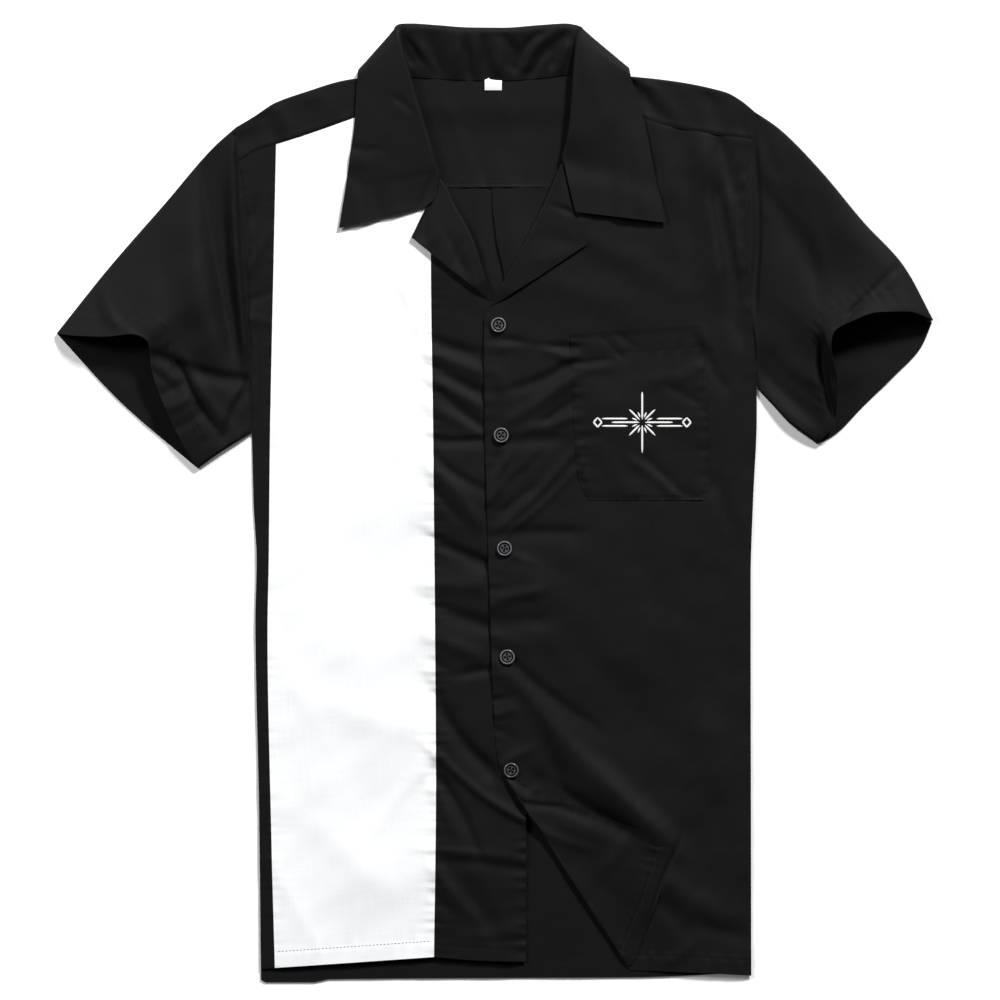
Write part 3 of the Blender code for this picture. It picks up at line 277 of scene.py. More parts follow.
def cellCorners(row, column, following, width):
    # point numbers round grid cells: row times width plus column, at the four corners
    return np.stack([row * width + column, row * width + following,
                     (row + 1) * width + following, (row + 1) * width + column], axis=-1)


def ringFaces(rows, columns):
    # the cells of a grid whose columns close into rings
    row, column = (index.ravel() for index in np.mgrid[0:rows - 1, 0:columns])
    return cellCorners(row, column, (column + 1) % columns, columns)


def makeCloth(name, points, material, thickness=clothThickness, keep=None, wrap=False,
              zeroColumn=0):
    # a closed thin wall: the grid moved half a thickness each way along its normals, joined by
    # a rim of quads; its UV map holds lengths along the cloth
    rows, columns = points.shape[:2]
    cells = (rows - 1, columns if wrap else columns - 1)
    keep = np.ones(cells, bool) if keep is None else keep
    offset = gridNormals(points, keep, wrap) * thickness / 2
    count = rows * columns
    vertices = np.concatenate([(points + offset).reshape(-1, 3), (points - offset).reshape(-1, 3)])
    row, column = np.nonzero(keep)
    top = cellCorners(row, column, (column + 1) % columns, columns)
    flatTop = cellCorners(row, column, column + 1, columns + 1 if wrap else columns)
    edges = np.concatenate([top[:, [side, (side + 1) % 4]] for side in range(4)])
    flatEdges = np.concatenate([flatTop[:, [side, (side + 1) % 4]] for side in range(4)])
    outer = ~np.isin(edges[:, 0] * count + edges[:, 1], edges[:, 1] * count + edges[:, 0])
    rim, flatRim = edges[outer], flatEdges[outer]
    quads = np.concatenate([top, top[:, ::-1] + count,
                            np.stack([rim[:, 1], rim[:, 0], rim[:, 0] + count, rim[:, 1] + count],
                                     axis=-1)])
    flatQuads = np.concatenate([flatTop, flatTop[:, ::-1], flatRim[:, [1, 0, 0, 1]]])
    used, quads = np.unique(quads, return_inverse=True)
    mesh = meshFrom(name, vertices[used], quads.reshape(-1, 4))
    flat = flatCoordinates(points, zeroColumn, wrap).reshape(-1, 2)
    layer = mesh.uv_layers.new(name="cut")
    layer.data.foreach_set("uv", flat[flatQuads.ravel()].astype(np.float32).ravel())
    return addPiece(name, mesh, material)


def meshFrom(name, vertices, faces):
    # millimetre points and faces of equal size as a smooth mesh with crisp edges, in metres
    mesh = bpy.data.meshes.new(name)
    places = (np.asarray(vertices) - boxCentre) * mm
    sides = faces.shape[1]
    mesh.vertices.add(len(places))
    mesh.vertices.foreach_set("co", places.astype(np.float32).ravel())
    mesh.loops.add(faces.size)
    mesh.loops.foreach_set("vertex_index", faces.ravel().astype(np.int32))
    mesh.polygons.add(len(faces))
    mesh.polygons.foreach_set("loop_start", np.arange(len(faces), dtype=np.int32) * sides)
    mesh.update(calc_edges=True)
    mesh.polygons.foreach_set("use_smooth", np.ones(len(faces), bool))
    mesh.set_sharp_from_angle(angle=sharpAngle)
    return mesh


def closePoles(mesh):
    # points that fell together, within 0.002 mm, become one, and the faces between them go
    shape = bmesh.new()
    shape.from_mesh(mesh)
    bmesh.ops.remove_doubles(shape, verts=shape.verts, dist=2e-6)
    bmesh.ops.recalc_face_normals(shape, faces=shape.faces)
    shape.to_mesh(mesh)
    shape.free()


def addPiece(name, mesh, material):
    # the object, at the origin
    mesh.materials.append(material)
    piece = bpy.data.objects.new(name, mesh)
    bpy.context.scene.collection.objects.link(piece)
    return piece


def joined(parts):
    # several (points, faces) as one, each part's faces counted on from the parts before it
    starts = np.cumsum([0] + [len(points) for points, _ in parts[:-1]])
    return (np.concatenate([points for points, _ in parts]),
            np.concatenate([faces + start for (_, faces), start in zip(parts, starts)]))


# stitches: sizes of one, in millimetres, and how far its middle stands proud of the cloth
stitch = {"pitch": 3.0, "length": 2.0, "radius": 0.2, "proud": 0.06, "path step": 1.5}


def stitchRow(path, normals):
    # one low spindle for each stitch, laid along the path: rings of five points between two tips
    run = runLengths(path)
    middles = np.arange(stitch["pitch"] / 2, run[-1], stitch["pitch"])
    if not len(middles):
        return np.zeros((0, 3)), np.zeros((0, 3), int)
    centre, up = sampled(path, run, middles), sampled(normals, run, middles)
    ahead = unit(sampled(path, run, np.minimum(middles + 0.5, run[-1]))
                 - sampled(path, run, middles - 0.5))
    side = unit(np.cross(up, ahead))
    turn = 2 * np.pi * np.arange(5) / 5
    template = [(-0.5, 0, 0)]
    for place, width in ((-0.36, 0.8), (0.0, 1.0), (0.36, 0.8)):
        template += [(place, width * np.cos(t), width * np.sin(t)) for t in turn]
    template = np.array(template + [(0.5, 0, 0)])
    along, across, above = template.T
    lift = stitch["proud"] * (1 - (2 * along)**2)
    points = (centre[:, None] + ahead[:, None] * (along * stitch["length"])[None, :, None]
              + side[:, None] * (across * stitch["radius"])[None, :, None]
              + up[:, None] * (above * stitch["radius"] + lift)[None, :, None])
    faces = [(0, 1 + (i + 1) % 5, 1 + i) for i in range(5)]
    for ring in (1, 6):
        for i in range(5):
            j = (i + 1) % 5
            faces += [(ring + i, ring + j, ring + 5 + j), (ring + i, ring + 5 + j, ring + 5 + i)]
    faces = np.array(faces + [(16, 11 + i, 11 + (i + 1) % 5) for i in range(5)])
    offsets = np.arange(len(middles))[:, None, None] * len(template)
    return points.reshape(-1, 3), (faces[None] + offsets).reshape(-1, 3)


def laidOn(piece, plan):
    # points and normals where rays straight down on these plan points meet a piece
    tree = BVHTree.FromPolygons([v.co for v in piece.data.vertices],
                                [p.vertices for p in piece.data.polygons])
    hits = [tree.ray_cast((x, y, 0.1), (0, 0, -1))[:2]
            for x, y in (np.asarray(plan) - boxCentre[:2]) * mm]
    hits = [(place, normal) for place, normal in hits if place is not None]
    found = np.array([place for place, _ in hits]) / mm + boxCentre
    normals = np.array([normal for _, normal in hits])
    normals *= np.sign(normals[:, 2:])
    return found, normals


def planLine(line):
    # a line's plan points at even steps along it
    known = along(line, np.linspace(0, 1, 200))
    run = runLengths(known)
    places = np.linspace(0, run[-1], max(2, int(run[-1] / stitch["path step"])))
    return sampled(known, run, places)


def beside(planPoints, distance):
    # the same path moved sideways, to its left where distance is positive
    return planPoints + distance * leftOf(planPoints)


def awayFrom(line, x, y):
    # signed distance from a line (positive to its left), and how far along it the nearest point is
    known = along(line, np.linspace(0, 1, 60))
    run = runLengths(known)
    best, nearest = np.full(np.shape(x), 1e9), np.zeros(np.shape(x))
    for start, end, base in zip(known[:-1], known[1:], run[:-1]):
        way = end - start
        length = np.hypot(*way)
        share = np.clip(((x - start[0]) * way[0] + (y - start[1]) * way[1]) / length**2, 0, 1)
        dx, dy = x - start[0] - share * way[0], y - start[1] - share * way[1]
        distance = np.hypot(dx, dy) * np.where(way[0] * dy - way[1] * dx < 0, -1, 1)
        closer = np.abs(distance) < np.abs(best)
        best = np.where(closer, distance, best)
        nearest = np.where(closer, base + share * length, nearest)
    return best, nearest


# materials
def linear(hexColour):
    # an sRGB hex colour as linear red, green, blue and alpha
    parts = np.array([int(hexColour[i:i + 2], 16) for i in (1, 3, 5)]) / 255
    return (*np.where(parts <= 0.04045, parts / 12.92, ((parts + 0.055) / 1.055)**2.4), 1.0)


def node(material, kind, links=(), **settings):
    # one node: settings by name or by socket, links as (output, socket)
    tree = material.node_tree
    made = tree.nodes.new(kind)
    for name, value in settings.items():
        if name.startswith("in_"):
            socket = name[3:].replace("_", " ")
            made.inputs[int(socket) if socket.isdigit() else socket].default_value = value
        else:
            setattr(made, name, value)
    for output, socket in links:
        tree.links.new(output, made.inputs[socket])
    return made


def newMaterial(name):
    # a material with an empty node tree
    material = bpy.data.materials.new(name)
    material.use_nodes = True
    material.node_tree.nodes.clear()
    return material


def poplin(name, look):
    # plain-weave poly-cotton: fine crosswise threads, a few thicker ones, and a dull bloom where
    # the nap catches the light
    material = newMaterial(name)
    cut = node(material, "ShaderNodeUVMap", uv_map="cut").outputs["UV"]
    threads = node(material, "ShaderNodeMapping", [(cut, "Vector")],
                   in_Scale=(2 * np.pi / look["weave repeat"],) * 3)
    parts = node(material, "ShaderNodeSeparateXYZ", [(threads.outputs[0], 0)])
    warp = node(material, "ShaderNodeMath", [(parts.outputs["X"], 0)], operation="SINE")
    weft = node(material, "ShaderNodeMath", [(parts.outputs["Y"], 0)], operation="SINE")
    weave = node(material, "ShaderNodeMath", [(warp.outputs[0], 0), (weft.outputs[0], 1)],
                 operation="MULTIPLY")
    acrossSlubs = node(material, "ShaderNodeMapping", [(cut, "Vector")], in_Scale=(30, 900, 1))
    upSlubs = node(material, "ShaderNodeMapping", [(cut, "Vector")], in_Scale=(900, 30, 1))
    slubs = [node(material, "ShaderNodeTexNoise", [(way.outputs[0], "Vector")], in_Scale=1.0,
                  in_Detail=2.0, in_Roughness=0.5) for way in (acrossSlubs, upSlubs)]
    slub = node(material, "ShaderNodeMath", [(slubs[0].outputs[0], 0), (slubs[1].outputs[0], 1)],
                operation="ADD")
    place = node(material, "ShaderNodeTexCoord").outputs["Object"]
    cloudy = node(material, "ShaderNodeTexNoise", [(place, "Vector")], in_Scale=14.0,
                  in_Detail=4.0, in_Roughness=0.55)
    tone = node(material, "ShaderNodeMath", [(slub.outputs[0], 0), (cloudy.outputs[0], 1)],
                operation="ADD")
    shade = node(material, "ShaderNodeMapRange", [(tone.outputs[0], "Value")], in_From_Min=1.1,
                 in_From_Max=1.9)
    colour = node(material, "ShaderNodeMix", [(shade.outputs[0], 0)], data_type="RGBA",
                  in_6=linear(look["dark"]), in_7=linear(look["light"]))
    bumpSum = node(material, "ShaderNodeMath", [(weave.outputs[0], 0), (slub.outputs[0], 1)],
                   operation="ADD")
    bump = node(material, "ShaderNodeBump", [(bumpSum.outputs[0], "Height")],
                in_Strength=look["weave strength"], in_Distance=0.0001)
    rough = node(material, "ShaderNodeMapRange", [(cloudy.outputs[0], "Value")], in_From_Min=0.3,
                 in_From_Max=0.7, in_To_Min=look["roughness"] - 0.04,
                 in_To_Max=look["roughness"] + 0.04)
    shader = node(material, "ShaderNodeBsdfPrincipled",
                  [(colour.outputs[2], "Base Color"), (bump.outputs[0], "Normal"),
                   (rough.outputs[0], "Roughness")],
                  in_IOR=1.5, in_Specular_IOR_Level=look["specular"],
                  in_Sheen_Weight=look["sheen"], in_Sheen_Roughness=0.5,
                  in_Sheen_Tint=linear(look["sheen tint"]))
    node(material, "ShaderNodeOutputMaterial", [(shader.outputs[0], "Surface")])
    return material


def plainMaterial(name, look, grainScale, bumpDistance):
    # one colour with a fine mottle in tone and surface, and a painted highlight: mixed towards a
    # pale colour where the mesh's highlight attribute is 1
    material = newMaterial(name)
    place = node(material, "ShaderNodeTexCoord").outputs["Object"]
    grain = node(material, "ShaderNodeTexNoise", [(place, "Vector")], in_Scale=grainScale,
                 in_Detail=3.0, in_Roughness=0.6)
    colour = node(material, "ShaderNodeMix", [(grain.outputs[0], 0)], data_type="RGBA",
                  in_6=linear(look["dark"]), in_7=linear(look["light"]))
    # painted highlight: the pale colour stands for the lights' reflection, as much as the mesh's
    # attribute gives
    if "pearl" in look:
        paintedHighlightShare = node(material, "ShaderNodeAttribute", attribute_name="pearl").outputs["Fac"]
        colour = node(material, "ShaderNodeMix", [(paintedHighlightShare, 0), (colour.outputs[2], 6)],
                      data_type="RGBA", in_7=linear(look["pearl"]))
    bump = node(material, "ShaderNodeBump", [(grain.outputs[0], "Height")], in_Strength=0.4,
                in_Distance=bumpDistance)
    shader = node(material, "ShaderNodeBsdfPrincipled",
                  [(colour.outputs[2], "Base Color"), (bump.outputs[0], "Normal")],
                  in_Roughness=look["roughness"], in_IOR=look["ior"],
                  in_Specular_IOR_Level=look["specular"], in_Coat_Weight=look["coat"],
                  in_Coat_Roughness=0.12)
    node(material, "ShaderNodeOutputMaterial", [(shader.outputs[0], "Surface")])
    return material


# What each real one gives the eye: poplin is dull, with a faint bloom at the folds; moulded resin
# has a clear highlight, and the buttons' pale rims and faces are a painted highlight; spun thread
# has none; satin tape and rayon are softly bright. The weave's repeat is metres for two threads:
# real poplin's are 0.25 mm each, drawn at 0.5 mm so that they show.
finishes = {
    "black": {"dark": "#090909", "light": "#0d0d0e", "roughness": 0.66, "specular": 0.13,
              "sheen": 0.02, "sheen tint": "#c8ccf0", "weave repeat": 0.0010,
              "weave strength": 0.35},
    "white": {"dark": "#f1f2f4", "light": "#f9fafc", "roughness": 0.7, "specular": 0.25,
              "sheen": 0.05, "sheen tint": "#ffffff", "weave repeat": 0.0010,
              "weave strength": 0.3},
    # the resin's pale colour is the painted highlight on the buttons' rims and faces
    "resin": {"dark": "#0c0c0d", "light": "#141416", "pearl": "#747478", "roughness": 0.24,
              "ior": 1.53, "specular": 0.5, "coat": 0.4},
    "thread": {"dark": "#070708", "light": "#0b0b0c", "roughness": 0.65, "ior": 1.5,
               "specular": 0.1, "coat": 0.0},
    "tape": {"dark": "#e4e4e2", "light": "#f4f4f2", "roughness": 0.55, "ior": 1.5,
             "specular": 0.3, "coat": 0.0},
    "embroidery": {"dark": "#dcdcda", "light": "#f6f6f4", "roughness": 0.45, "ior": 1.5,
                   "specular": 0.4, "coat": 0.0},
}
blackPoplin = poplin("black_poly-cotton_poplin", finishes["black"])
whitePoplin = poplin("white_poly-cotton_poplin", finishes["white"])
buttonResin = plainMaterial("moulded_polyester_resin", finishes["resin"], 400.0, 0.00002)
blackThread = plainMaterial("spun_polyester_thread", finishes["thread"], 2500.0, 0.0001)
whiteTape = plainMaterial("woven_satin_tape", finishes["tape"], 3000.0, 0.00005)
whiteThread = plainMaterial("rayon_embroidery_thread", finishes["embroidery"], 3000.0, 0.00008)
print("materials made")


# the lie of the cloth: the heights of its layers, how far the middle lofts, where the front laps
lie = {"floor layer": 0.25, "front layer": 1.8, "body centre": 8.0, "half width": 205.0,
       "loft": 2.8, "lap lift": 2.2, "lap inner": 26.0, "lap outer": 56.0, "hem": 15.0,
       "fold depth": 1.35}
hemStitch = 1.8    # how far inside a hem's own edge its stitches run


def line(*rows):
    # points of a curve
    return rowsOf("x y", *rows)


def lineShares(*rows):
    # points of a curve, each with its share of the way
    return rowsOf("x y share", *rows)


rightSide = line((-191.5, -382), (-193, -252), (-196, -96), (-195, -47), (-197.5, 0), (-199, 57))
rightArmhole = line((-199, 57), (-200, 129), (-202, 177), (-201, 207.5), (-204.6, 251),
                    (-209.5, 280), (-212, 308))
leftSide = line((210.5, -387.5), (210, -63), (212, 2), (215, 71), (215, 94))
leftArmhole = line((215, 94), (214, 116), (209.5, 163), (205, 211), (204.6, 246), (210.7, 295),
                   (213, 321))
shoulder = line((-212, 308), (-197, 317), (-180, 328), (-155, 337), (-123, 346.5),
                (-110, 348.3), (-80, 350), (80, 351.5), (109, 349.8), (142, 346.5), (189, 337),
                (202, 330), (213, 321))
backNeck = line((-80, 350), (-65, 349.5), (-8, 347), (37, 349), (63, 352), (80, 351.5))
backYokeSeam = line((-206, 257), (-3, 259), (206, 259.5))
rightYokeSeam = line((-209.5, 280), (-193, 289.5), (-180, 293.6), (-159.5, 300), (-114, 316),
                     (-77, 331))
leftYokeSeam = line((78, 331), (120, 316), (141.5, 309), (175, 303), (211, 298))
rightNeckline = line((-77, 331), (-73, 320), (-64, 300), (-52.5, 278.6), (-43.5, 265.5))
leftNeckline = line((54, 277.5), (60.5, 284), (68.5, 300), (75.5, 322), (78, 331))
backHem = line((-188, -393), (-146, -393), (-138, -390.5), (0, -389.5), (110, -389),
               (210.5, -385))
sideSeam = line((-180, -381), (-183, -268), (-186, -104), (-185, -47), (-184, 52), (-181, 199),
                (-179, 294))
centreSeam = line((-49.6, -372), (-48, -235), (-48.8, -96), (-49.6, -14), (-50.4, 68),
                  (-52, 175), (-52.5, 278.6))
rightRoll = line((-2.5, 167), (-8, 187), (-16, 213), (-24, 230), (-32.4, 244.4), (-37.4, 256),
                 (-43.5, 265.5))
rightLapelEdge = lineShares((-3.5, 166, 0), (-34, 190, 0.375), (-68, 217.5, 0.75),
                            (-62.5, 229, 0.875), (-56.5, 241, 1))
rightGorge = lineShares((-45.4, 264.3, 0), (-46, 259.5, 0.2), (-47.2, 251.6, 0.5),
                        (-50.6, 245.8, 0.75), (-56.5, 241, 1))
leftFrontEdge = line((7, -224), (2, -205), (-1, -161.5), (-3.7, -79.5), (-6, -6), (-7.8, 68),
                     (-8.6, 148), (-3.5, 162))
leftRoll = line((-3.5, 162), (40.5, 246), (54, 277.5))
leftLapelEdge = lineShares((-1, 162, 0), (37, 186, 0.3125), (76, 212, 0.625), (65, 238, 0.75),
                           (62, 250, 0.875), (58.8, 264.5, 1))
cornerFold = line((7, -224), (110, -382))
cornerEdge = lineShares((9, -224, 0), (58, -243.5, 0.25), (104, -263, 0.4583),
                        (147, -278, 0.6667), (135, -322, 0.8333), (120, -360, 0.9167),
                        (112, -380, 1))
cornerTop = line((9, -224), (58, -243.5), (104, -263), (147, -278))
cornerHem = line((147, -278), (135, -322), (120, -360), (112, -380))
leftHem = line((110, -383), (155, -384.6), (210.5, -387.5))
insertHem = line((-180, -381), (-49.6, -372))
centreHem = line((-49.6, -372), (-12, -375), (25.8, -376))

rightFolds = foldTable(
    (-30, -150, -34, -330, 0, 10, 0, 0.8, 1.0),       # long soft fold down the centre piece
    (-46, 135, -11, 124, 1, 6, 0.2, -1.5, -1.9),
    (-46, 124, -12, 109, 0, 5, 0, 1.1, 0.9),
    (-40, 109, -9, 93, 1, 5, 0.2, -1.1, -1.6),
    (-48, 101, -13, 82, -1, 4.5, 0, 1.4, 0.8),
    (-42, 92, -10, 66, 1, 4.5, 0.2, -0.9, -1.5),
    (-46, 79, -12, 60, 0, 5, 0, 1.0, 0.5),
    (-48, 53, -8, 54, 1, 4, 0.3, -1.5, -1.5),
    (-45, 38, -9, 14, 2, 4.5, 0.2, -1.4, -1.0),
    (-47, 29, -15, -9, -2, 6, 0, 1.4, 1.0),
    (-46, 9, -30, -9, 0, 4, 0, -1.1, -0.6),
    (-47, -27, -6, -46, 1, 6, 0.3, -1.3, -2.4),
    (-44, -40, -30, -44, 0, 3, 0, 0.7, 0.4),
    (-46, -62, -6, -64, 2, 8, 0, 1.3, 1.1),
    (-48, -80, -4, -97, 1, 7, 0.2, -1.0, -2.0),
    (-46, -108, -12, -122, 0, 7, 0, 1.2, 1.3),
    (-20, -138, -5, -135, 0, 4, 0, -1.2, -1.4),
    (-46, -130, -34, -138, 0, 4, 0, -0.8, -0.4),
    (-45, -156, -4, -213, 4, 6.5, 0.2, -1.9, -2.6),
    (-42, -208, 24, -258, 4, 3.6, -0.2, 1.5, 1.9),
    (-43, -224, -13, -280, -3, 4.5, 0.3, -1.7, -1.1),
    (-46, -236, -34, -262, 0, 5, 0, 0.9, 0.6),
    (-46, -283, 25, -289, 0, 3.6, 0, 0.9, 0.6),
    (-44, -290, 25, -297, 0, 4.6, 0.4, -0.5, -0.9),
    (-44, -300, -14, -337, 2, 6, 0, 1.5, 0.9),
    (-30, -300, -2, -342, -2, 9, 0, -0.9, -1.4),
    (-47, -322, -38, -332, 0, 3, 0, -0.9, -0.5),
    (-10, -352, 20, -348, 0, 7, 0, 0.8, 0.6),
    (-60, 40, -120, 64, 2, 12, 0, 0.8, 0.4),          # shallow creases in the insert
    (-70, -176, -150, -150, -3, 14, 0, 0.8, 0.5),
    (-174, 60, -158, 12, 0, 7, 0, 0.9, 0.3),
    (-96, -300, -160, -250, 4, 13, 0, 0.6, 0.4),
    (-54, 128, -84, 196, 4, 7, 0.3, 0.8, 0.3),
    (-58, 66, -78, 122, 3, 6, 0.3, -0.6, -0.2),
    (-160, 214, -128, 150, 3, 9, 0, 0.5, 0.3),
    (-54, -40, -82, -84, -2, 6, 0, 0.6, 0.2),
    (-54, -216, -92, -262, 2, 7, 0.3, 0.7, 0.2),
    (-176, -118, -142, -176, 0, 9, 0, 0.5, 0.3),
    (-176, -300, -150, -348, 0, 7, 0, 0.5, 0.3),
    (-120, 296, -112, 236, 0, 8, 0, 0.5, 0.3),
    (-197, 236, -186, 262, 0, 4, 0, -0.8, -0.4),      # side strip
    (-198, 196, -184, 222, 0, 4, 0, 0.9, 0.5),
    (-196, 168, -186, 172, 0, 3.5, 0, -0.9, -0.6),
    (-196, 152, -186, 150, 0, 4, 0, 0.8, 0.5),
    (-196, 60, -188, -30, 0, 5, 0, -0.7, -0.5),
)
leftFolds = foldTable(
    (14, -138, 128, -254, 3, 12, 0.15, 1.4, 4.4),     # ridge above the turned corner
    (17, -128, 78, -176, 2, 5.5, 0.3, -1.5, -0.9),    # crease above it, from the fourth button
    (22, -158, 50, -212, -5, 8, 0, -1.3, -1.9),
    (44, -226, 104, -262, 0, 8, 0.2, -1.6, -2.8),     # trough where the flap's edge lies
    (12, -236, 104, -374, 0, 9, 0, 0.3, 0.3),
    (150, -282, 124, -358, 3, 1.8, 0, -1.1, -0.9),    # where the flap's hem lies
    (150, -308, 182, -332, 2, 11, 0, 1.5, 0.9),       # soft fold below the flap's tip
    (142, -328, 158, -346, 0, 7, 0, -0.9, -0.6),
    (176, -344, 204, -352, 0, 7, 0, -0.7, -0.8),
    (148, -372, 160, -364, 0, 5, 0, 0.8, 0.5),
    (186, 246, 203, 152, -2, 6.5, 0.2, -2.6, -2.0),   # trough beside the armhole
    (174, 286, 186, 196, 0, 7, 0, 2.0, 1.6),
    (188, 296, 199, 258, 0, 5, 0, -1.8, -1.2),
    (194, 248, 202, 196, 0, 4, 0, 1.3, 1.0),
    (157, 299, 166, 186, -2, 8, 0, -1.1, -0.8),
    (16, 135, 60, 130, 2, 4, 0.3, -1.2, -1.5),        # pulls between the buttons and the pocket
    (7, 129, 60, 121, -5, 4.2, 0, 1.0, 1.3),
    (0, 134, -3, 116, 0, 2.6, 0, -0.9, -0.5),
    (4, 108, 10, 96, 0, 6, 0, 0.8, 0.8),
    (18, 96, 60, 114, 2, 4.5, 0.2, -0.9, -1.8),
    (18, 72, 60, 100, 1, 5, 0, 0.9, 1.5),
    (46, 70, 63, 83, 0, 3.5, 0, -1.4, -0.9),
    (30, 62, 62, 71, 1, 4, 0, 0.8, 1.2),
    (14, 52, 50, 54, 0, 5, 0, -0.9, -1.0),
    (4, 37, -3, 13, 1, 3, 0, -1.3, -0.7),
    (9, 34, -2, 6, 2, 3.2, 0, 1.2, 0.8),
    (14, 20, 34, 36, 0, 3.5, 0, -0.7, -0.6),
    (-2, 4, 26, 32, -2, 3.6, 0, 0.9, 0.7),
    (12, -14, 62, 38, 2, 3.2, 0, 1.1, 1.0),
    (16, -20, 66, 26, 2, 3.0, 0, 0.9, 0.8),
    (10, -4, 30, 12, 0, 3, 0, -0.8, -0.6),
    (-3, -25, 62, -22, -2, 5.5, 0.3, -0.9, -1.1),
    (18, -42, 30, -47, 0, 3.5, 0, 0.9, 0.6),
    (30, -55, 52, -66, 0, 12, 0, 1.2, 0.6),
    (-2, -82, 32, -72, -2, 5, 0, 1.0, 1.3),
    (-2, -94, 34, -94, 1, 7, 0, -0.9, -1.3),
    (2, -108, 20, -112, 0, 5, 0, 0.7, 0.5),
    (2, -160, 14, -157, 0, 3, 0, -0.8, -0.4),
    (3, -172, 16, -168, 0, 3.5, 0, 1.0, 0.5),
    (4, -186, 14, -190, 0, 3, 0, -0.9, -0.5),
    (16, -208, 26, -202, 0, 4, 0, 1.2, 0.8),
    (184, 17, 194, -12, 0, 6, 0, -0.9, -0.8),         # soft bands at the side
    (193, -14, 192, -120, 1, 8, 0, -0.9, -0.8),
    (178, -4, 172, -70, 0, 10, 0, 0.7, 0.6),
    (176, 124, 190, 98, 0, 5, 0, -1.4, -0.9),
    (172, 138, 186, 110, 0, 4.5, 0, 1.0, 0.7),
    (150, -60, 190, -210, 4, 15, 0, 1.0, 1.0),
    (110, -40, 130, -110, -4, 17, 0, 0.7, 0.5),
    (80, -120, 150, -190, 3, 12, 0, -0.6, -0.5),
    (72, 228, 112, 208, 4, 10, 0, 0.9, 0.6),
    (60, 186, 92, 174, 2, 12, 0, 0.9, 0.7),
    (110, 190, 150, 170, 0, 12, 0, -0.7, -0.5),
    (120, 306, 130, 276, 0, 6, 0, -0.9, -0.6),
    (138, 300, 142, 262, 0, 6, 0, 0.8, 0.5),
)
flapFolds = foldTable(
    (21, -243, 50, -247, 1, 3.2, 0.3, -1.6, -1.0),
    (34, -262, 72, -279, 2, 4.5, 0, 1.1, 0.8),
    (60, -250, 76, -256, 0, 4, 0, -0.9, -0.7),
    (70, -262, 104, -272, 0, 8, 0, 0.9, 0.6),
    (76, -292, 104, -322, 0, 10, 0, -0.7, -0.5),
    (98, -292, 112, -276, 0, 6, 0, 0.6, 0.5),
)
lapelFolds = foldTable(
    (-44, 262, -56, 222, 3, 4, 0.2, -2.2, -2.4),      # wearer's right lapel
    (-38, 256, -46, 222, 2, 4.5, 0, 1.5, 1.2),
    (-34, 218, -24, 196, 0, 4.5, 0, -1.2, -1.6),
    (-26, 212, -32, 198, 0, 3.6, 0, -1.1, -0.7),
    (-18, 204, -14, 184, 0, 4.5, 0, 0.9, 0.8),
    (43, 246.5, 62, 240, 0, 2.2, 0, -1.2, -1.8),      # wearer's left lapel
    (38, 220, 66, 213, -3, 6, 0, -0.9, -0.6),
    (42, 202, 66, 206, 0, 7, 0, 0.8, 0.5),
)
leafFolds = foldTable(
    (-115, 293, -95, 291, 1, 3, 0.3, -0.8, -0.4),
    (-116, 283, -101, 279, 0, 5, 0, 0.7, 0.3),
    (-118, 270, -108, 264, 0, 3.4, 0, -0.6, -0.3),
    (-52, 262, -59, 244, 0, 2.6, 0, -1.2, -1.0),      # dips beside the lapel
    (-113, 252, -108, 232, 0, 4.5, 0, 0.9, 0.8),
    (-94, 250, -92, 238, 0, 4.5, 0, -0.6, -0.8),
    (-81, 256, -80, 242, 0, 4, 0, 0.6, 0.8),
    (-77, 331, -67, 323, 0, 3, 0, -0.8, -0.5),
    (-104, 330, -92, 312, 0, 9, 0, 0.5, 0.3),
    (97, 296, 98, 232, 1, 6, 0, -0.8, -0.9),
    (80, 370, 92, 320, 0, 9, 0, 0.8, 0.6),
    (118, 296, 124, 250, 0, 7, 0, 0.7, 0.8),
    (110, 262, 108, 236, 0, 5, 0, 0.4, 0.6),
)
standFolds = foldTable(
    (-74, 384, -66, 366, 0, 4, 0, -1.0, -1.2),
    (-64, 374, -50, 354, 0, 3.2, 0.3, -1.0, -0.8),
    (-58, 372, -52, 358, 0, 5, 0, 0.8, 0.9),
    (-50, 386, -44, 358, 1, 5, 0, -0.7, -0.9),
    (-31, 384, -30, 358, 0, 4.5, 0, 0.9, 0.7),
    (-22, 374, -19, 352, 0, 3.6, 0, -0.8, -1.0),
    (-15, 388, -14, 358, 0, 3.4, 0, 0.9, 0.7),
    (-7, 382, -4, 352, 0, 5, 0, -0.7, -0.7),
    (3, 376, 4, 360, 0, 5, 0, 0.8, 0.9),
    (10, 385, 18, 362, -3, 4.6, 0.2, -1.1, -1.2),
    (38, 386, 23, 366, 2, 3.4, 0, -1.4, -1.1),
    (44, 384, 28, 361, 3, 3.2, 0, 1.3, 1.0),
    (50, 377, 33, 355, 2, 3.2, 0, -1.3, -1.0),
    (57, 383, 49, 362, 1, 3.0, 0, -1.5, -1.2),
    (60, 374, 56, 358, 0, 3, 0, 1.1, 0.8),
)
yokeFolds = foldTable(
    (115, 348, 136, 323, 0, 6, 0.3, -1.8, -1.0),      # trough beside the right leaf
    (126, 350, 150, 322, 0, 6, 0, 0.9, 0.6),
    (-186, 320, -176, 300, 0, 5, 0, -0.9, -0.7),
    (-176, 326, -166, 306, 0, 5, 0, 0.8, 0.5),
    (-204, 300, -190, 306, 0, 5, 0, -0.8, -0.5),
    (180, 330, 190, 308, 0, 6, 0, -0.8, -0.5),
    (206, 308, 209, 296, 0, 4, 0, -0.9, -0.9),
    (-140, 336, -128, 320, 0, 8, 0, 0.6, 0.4),
)
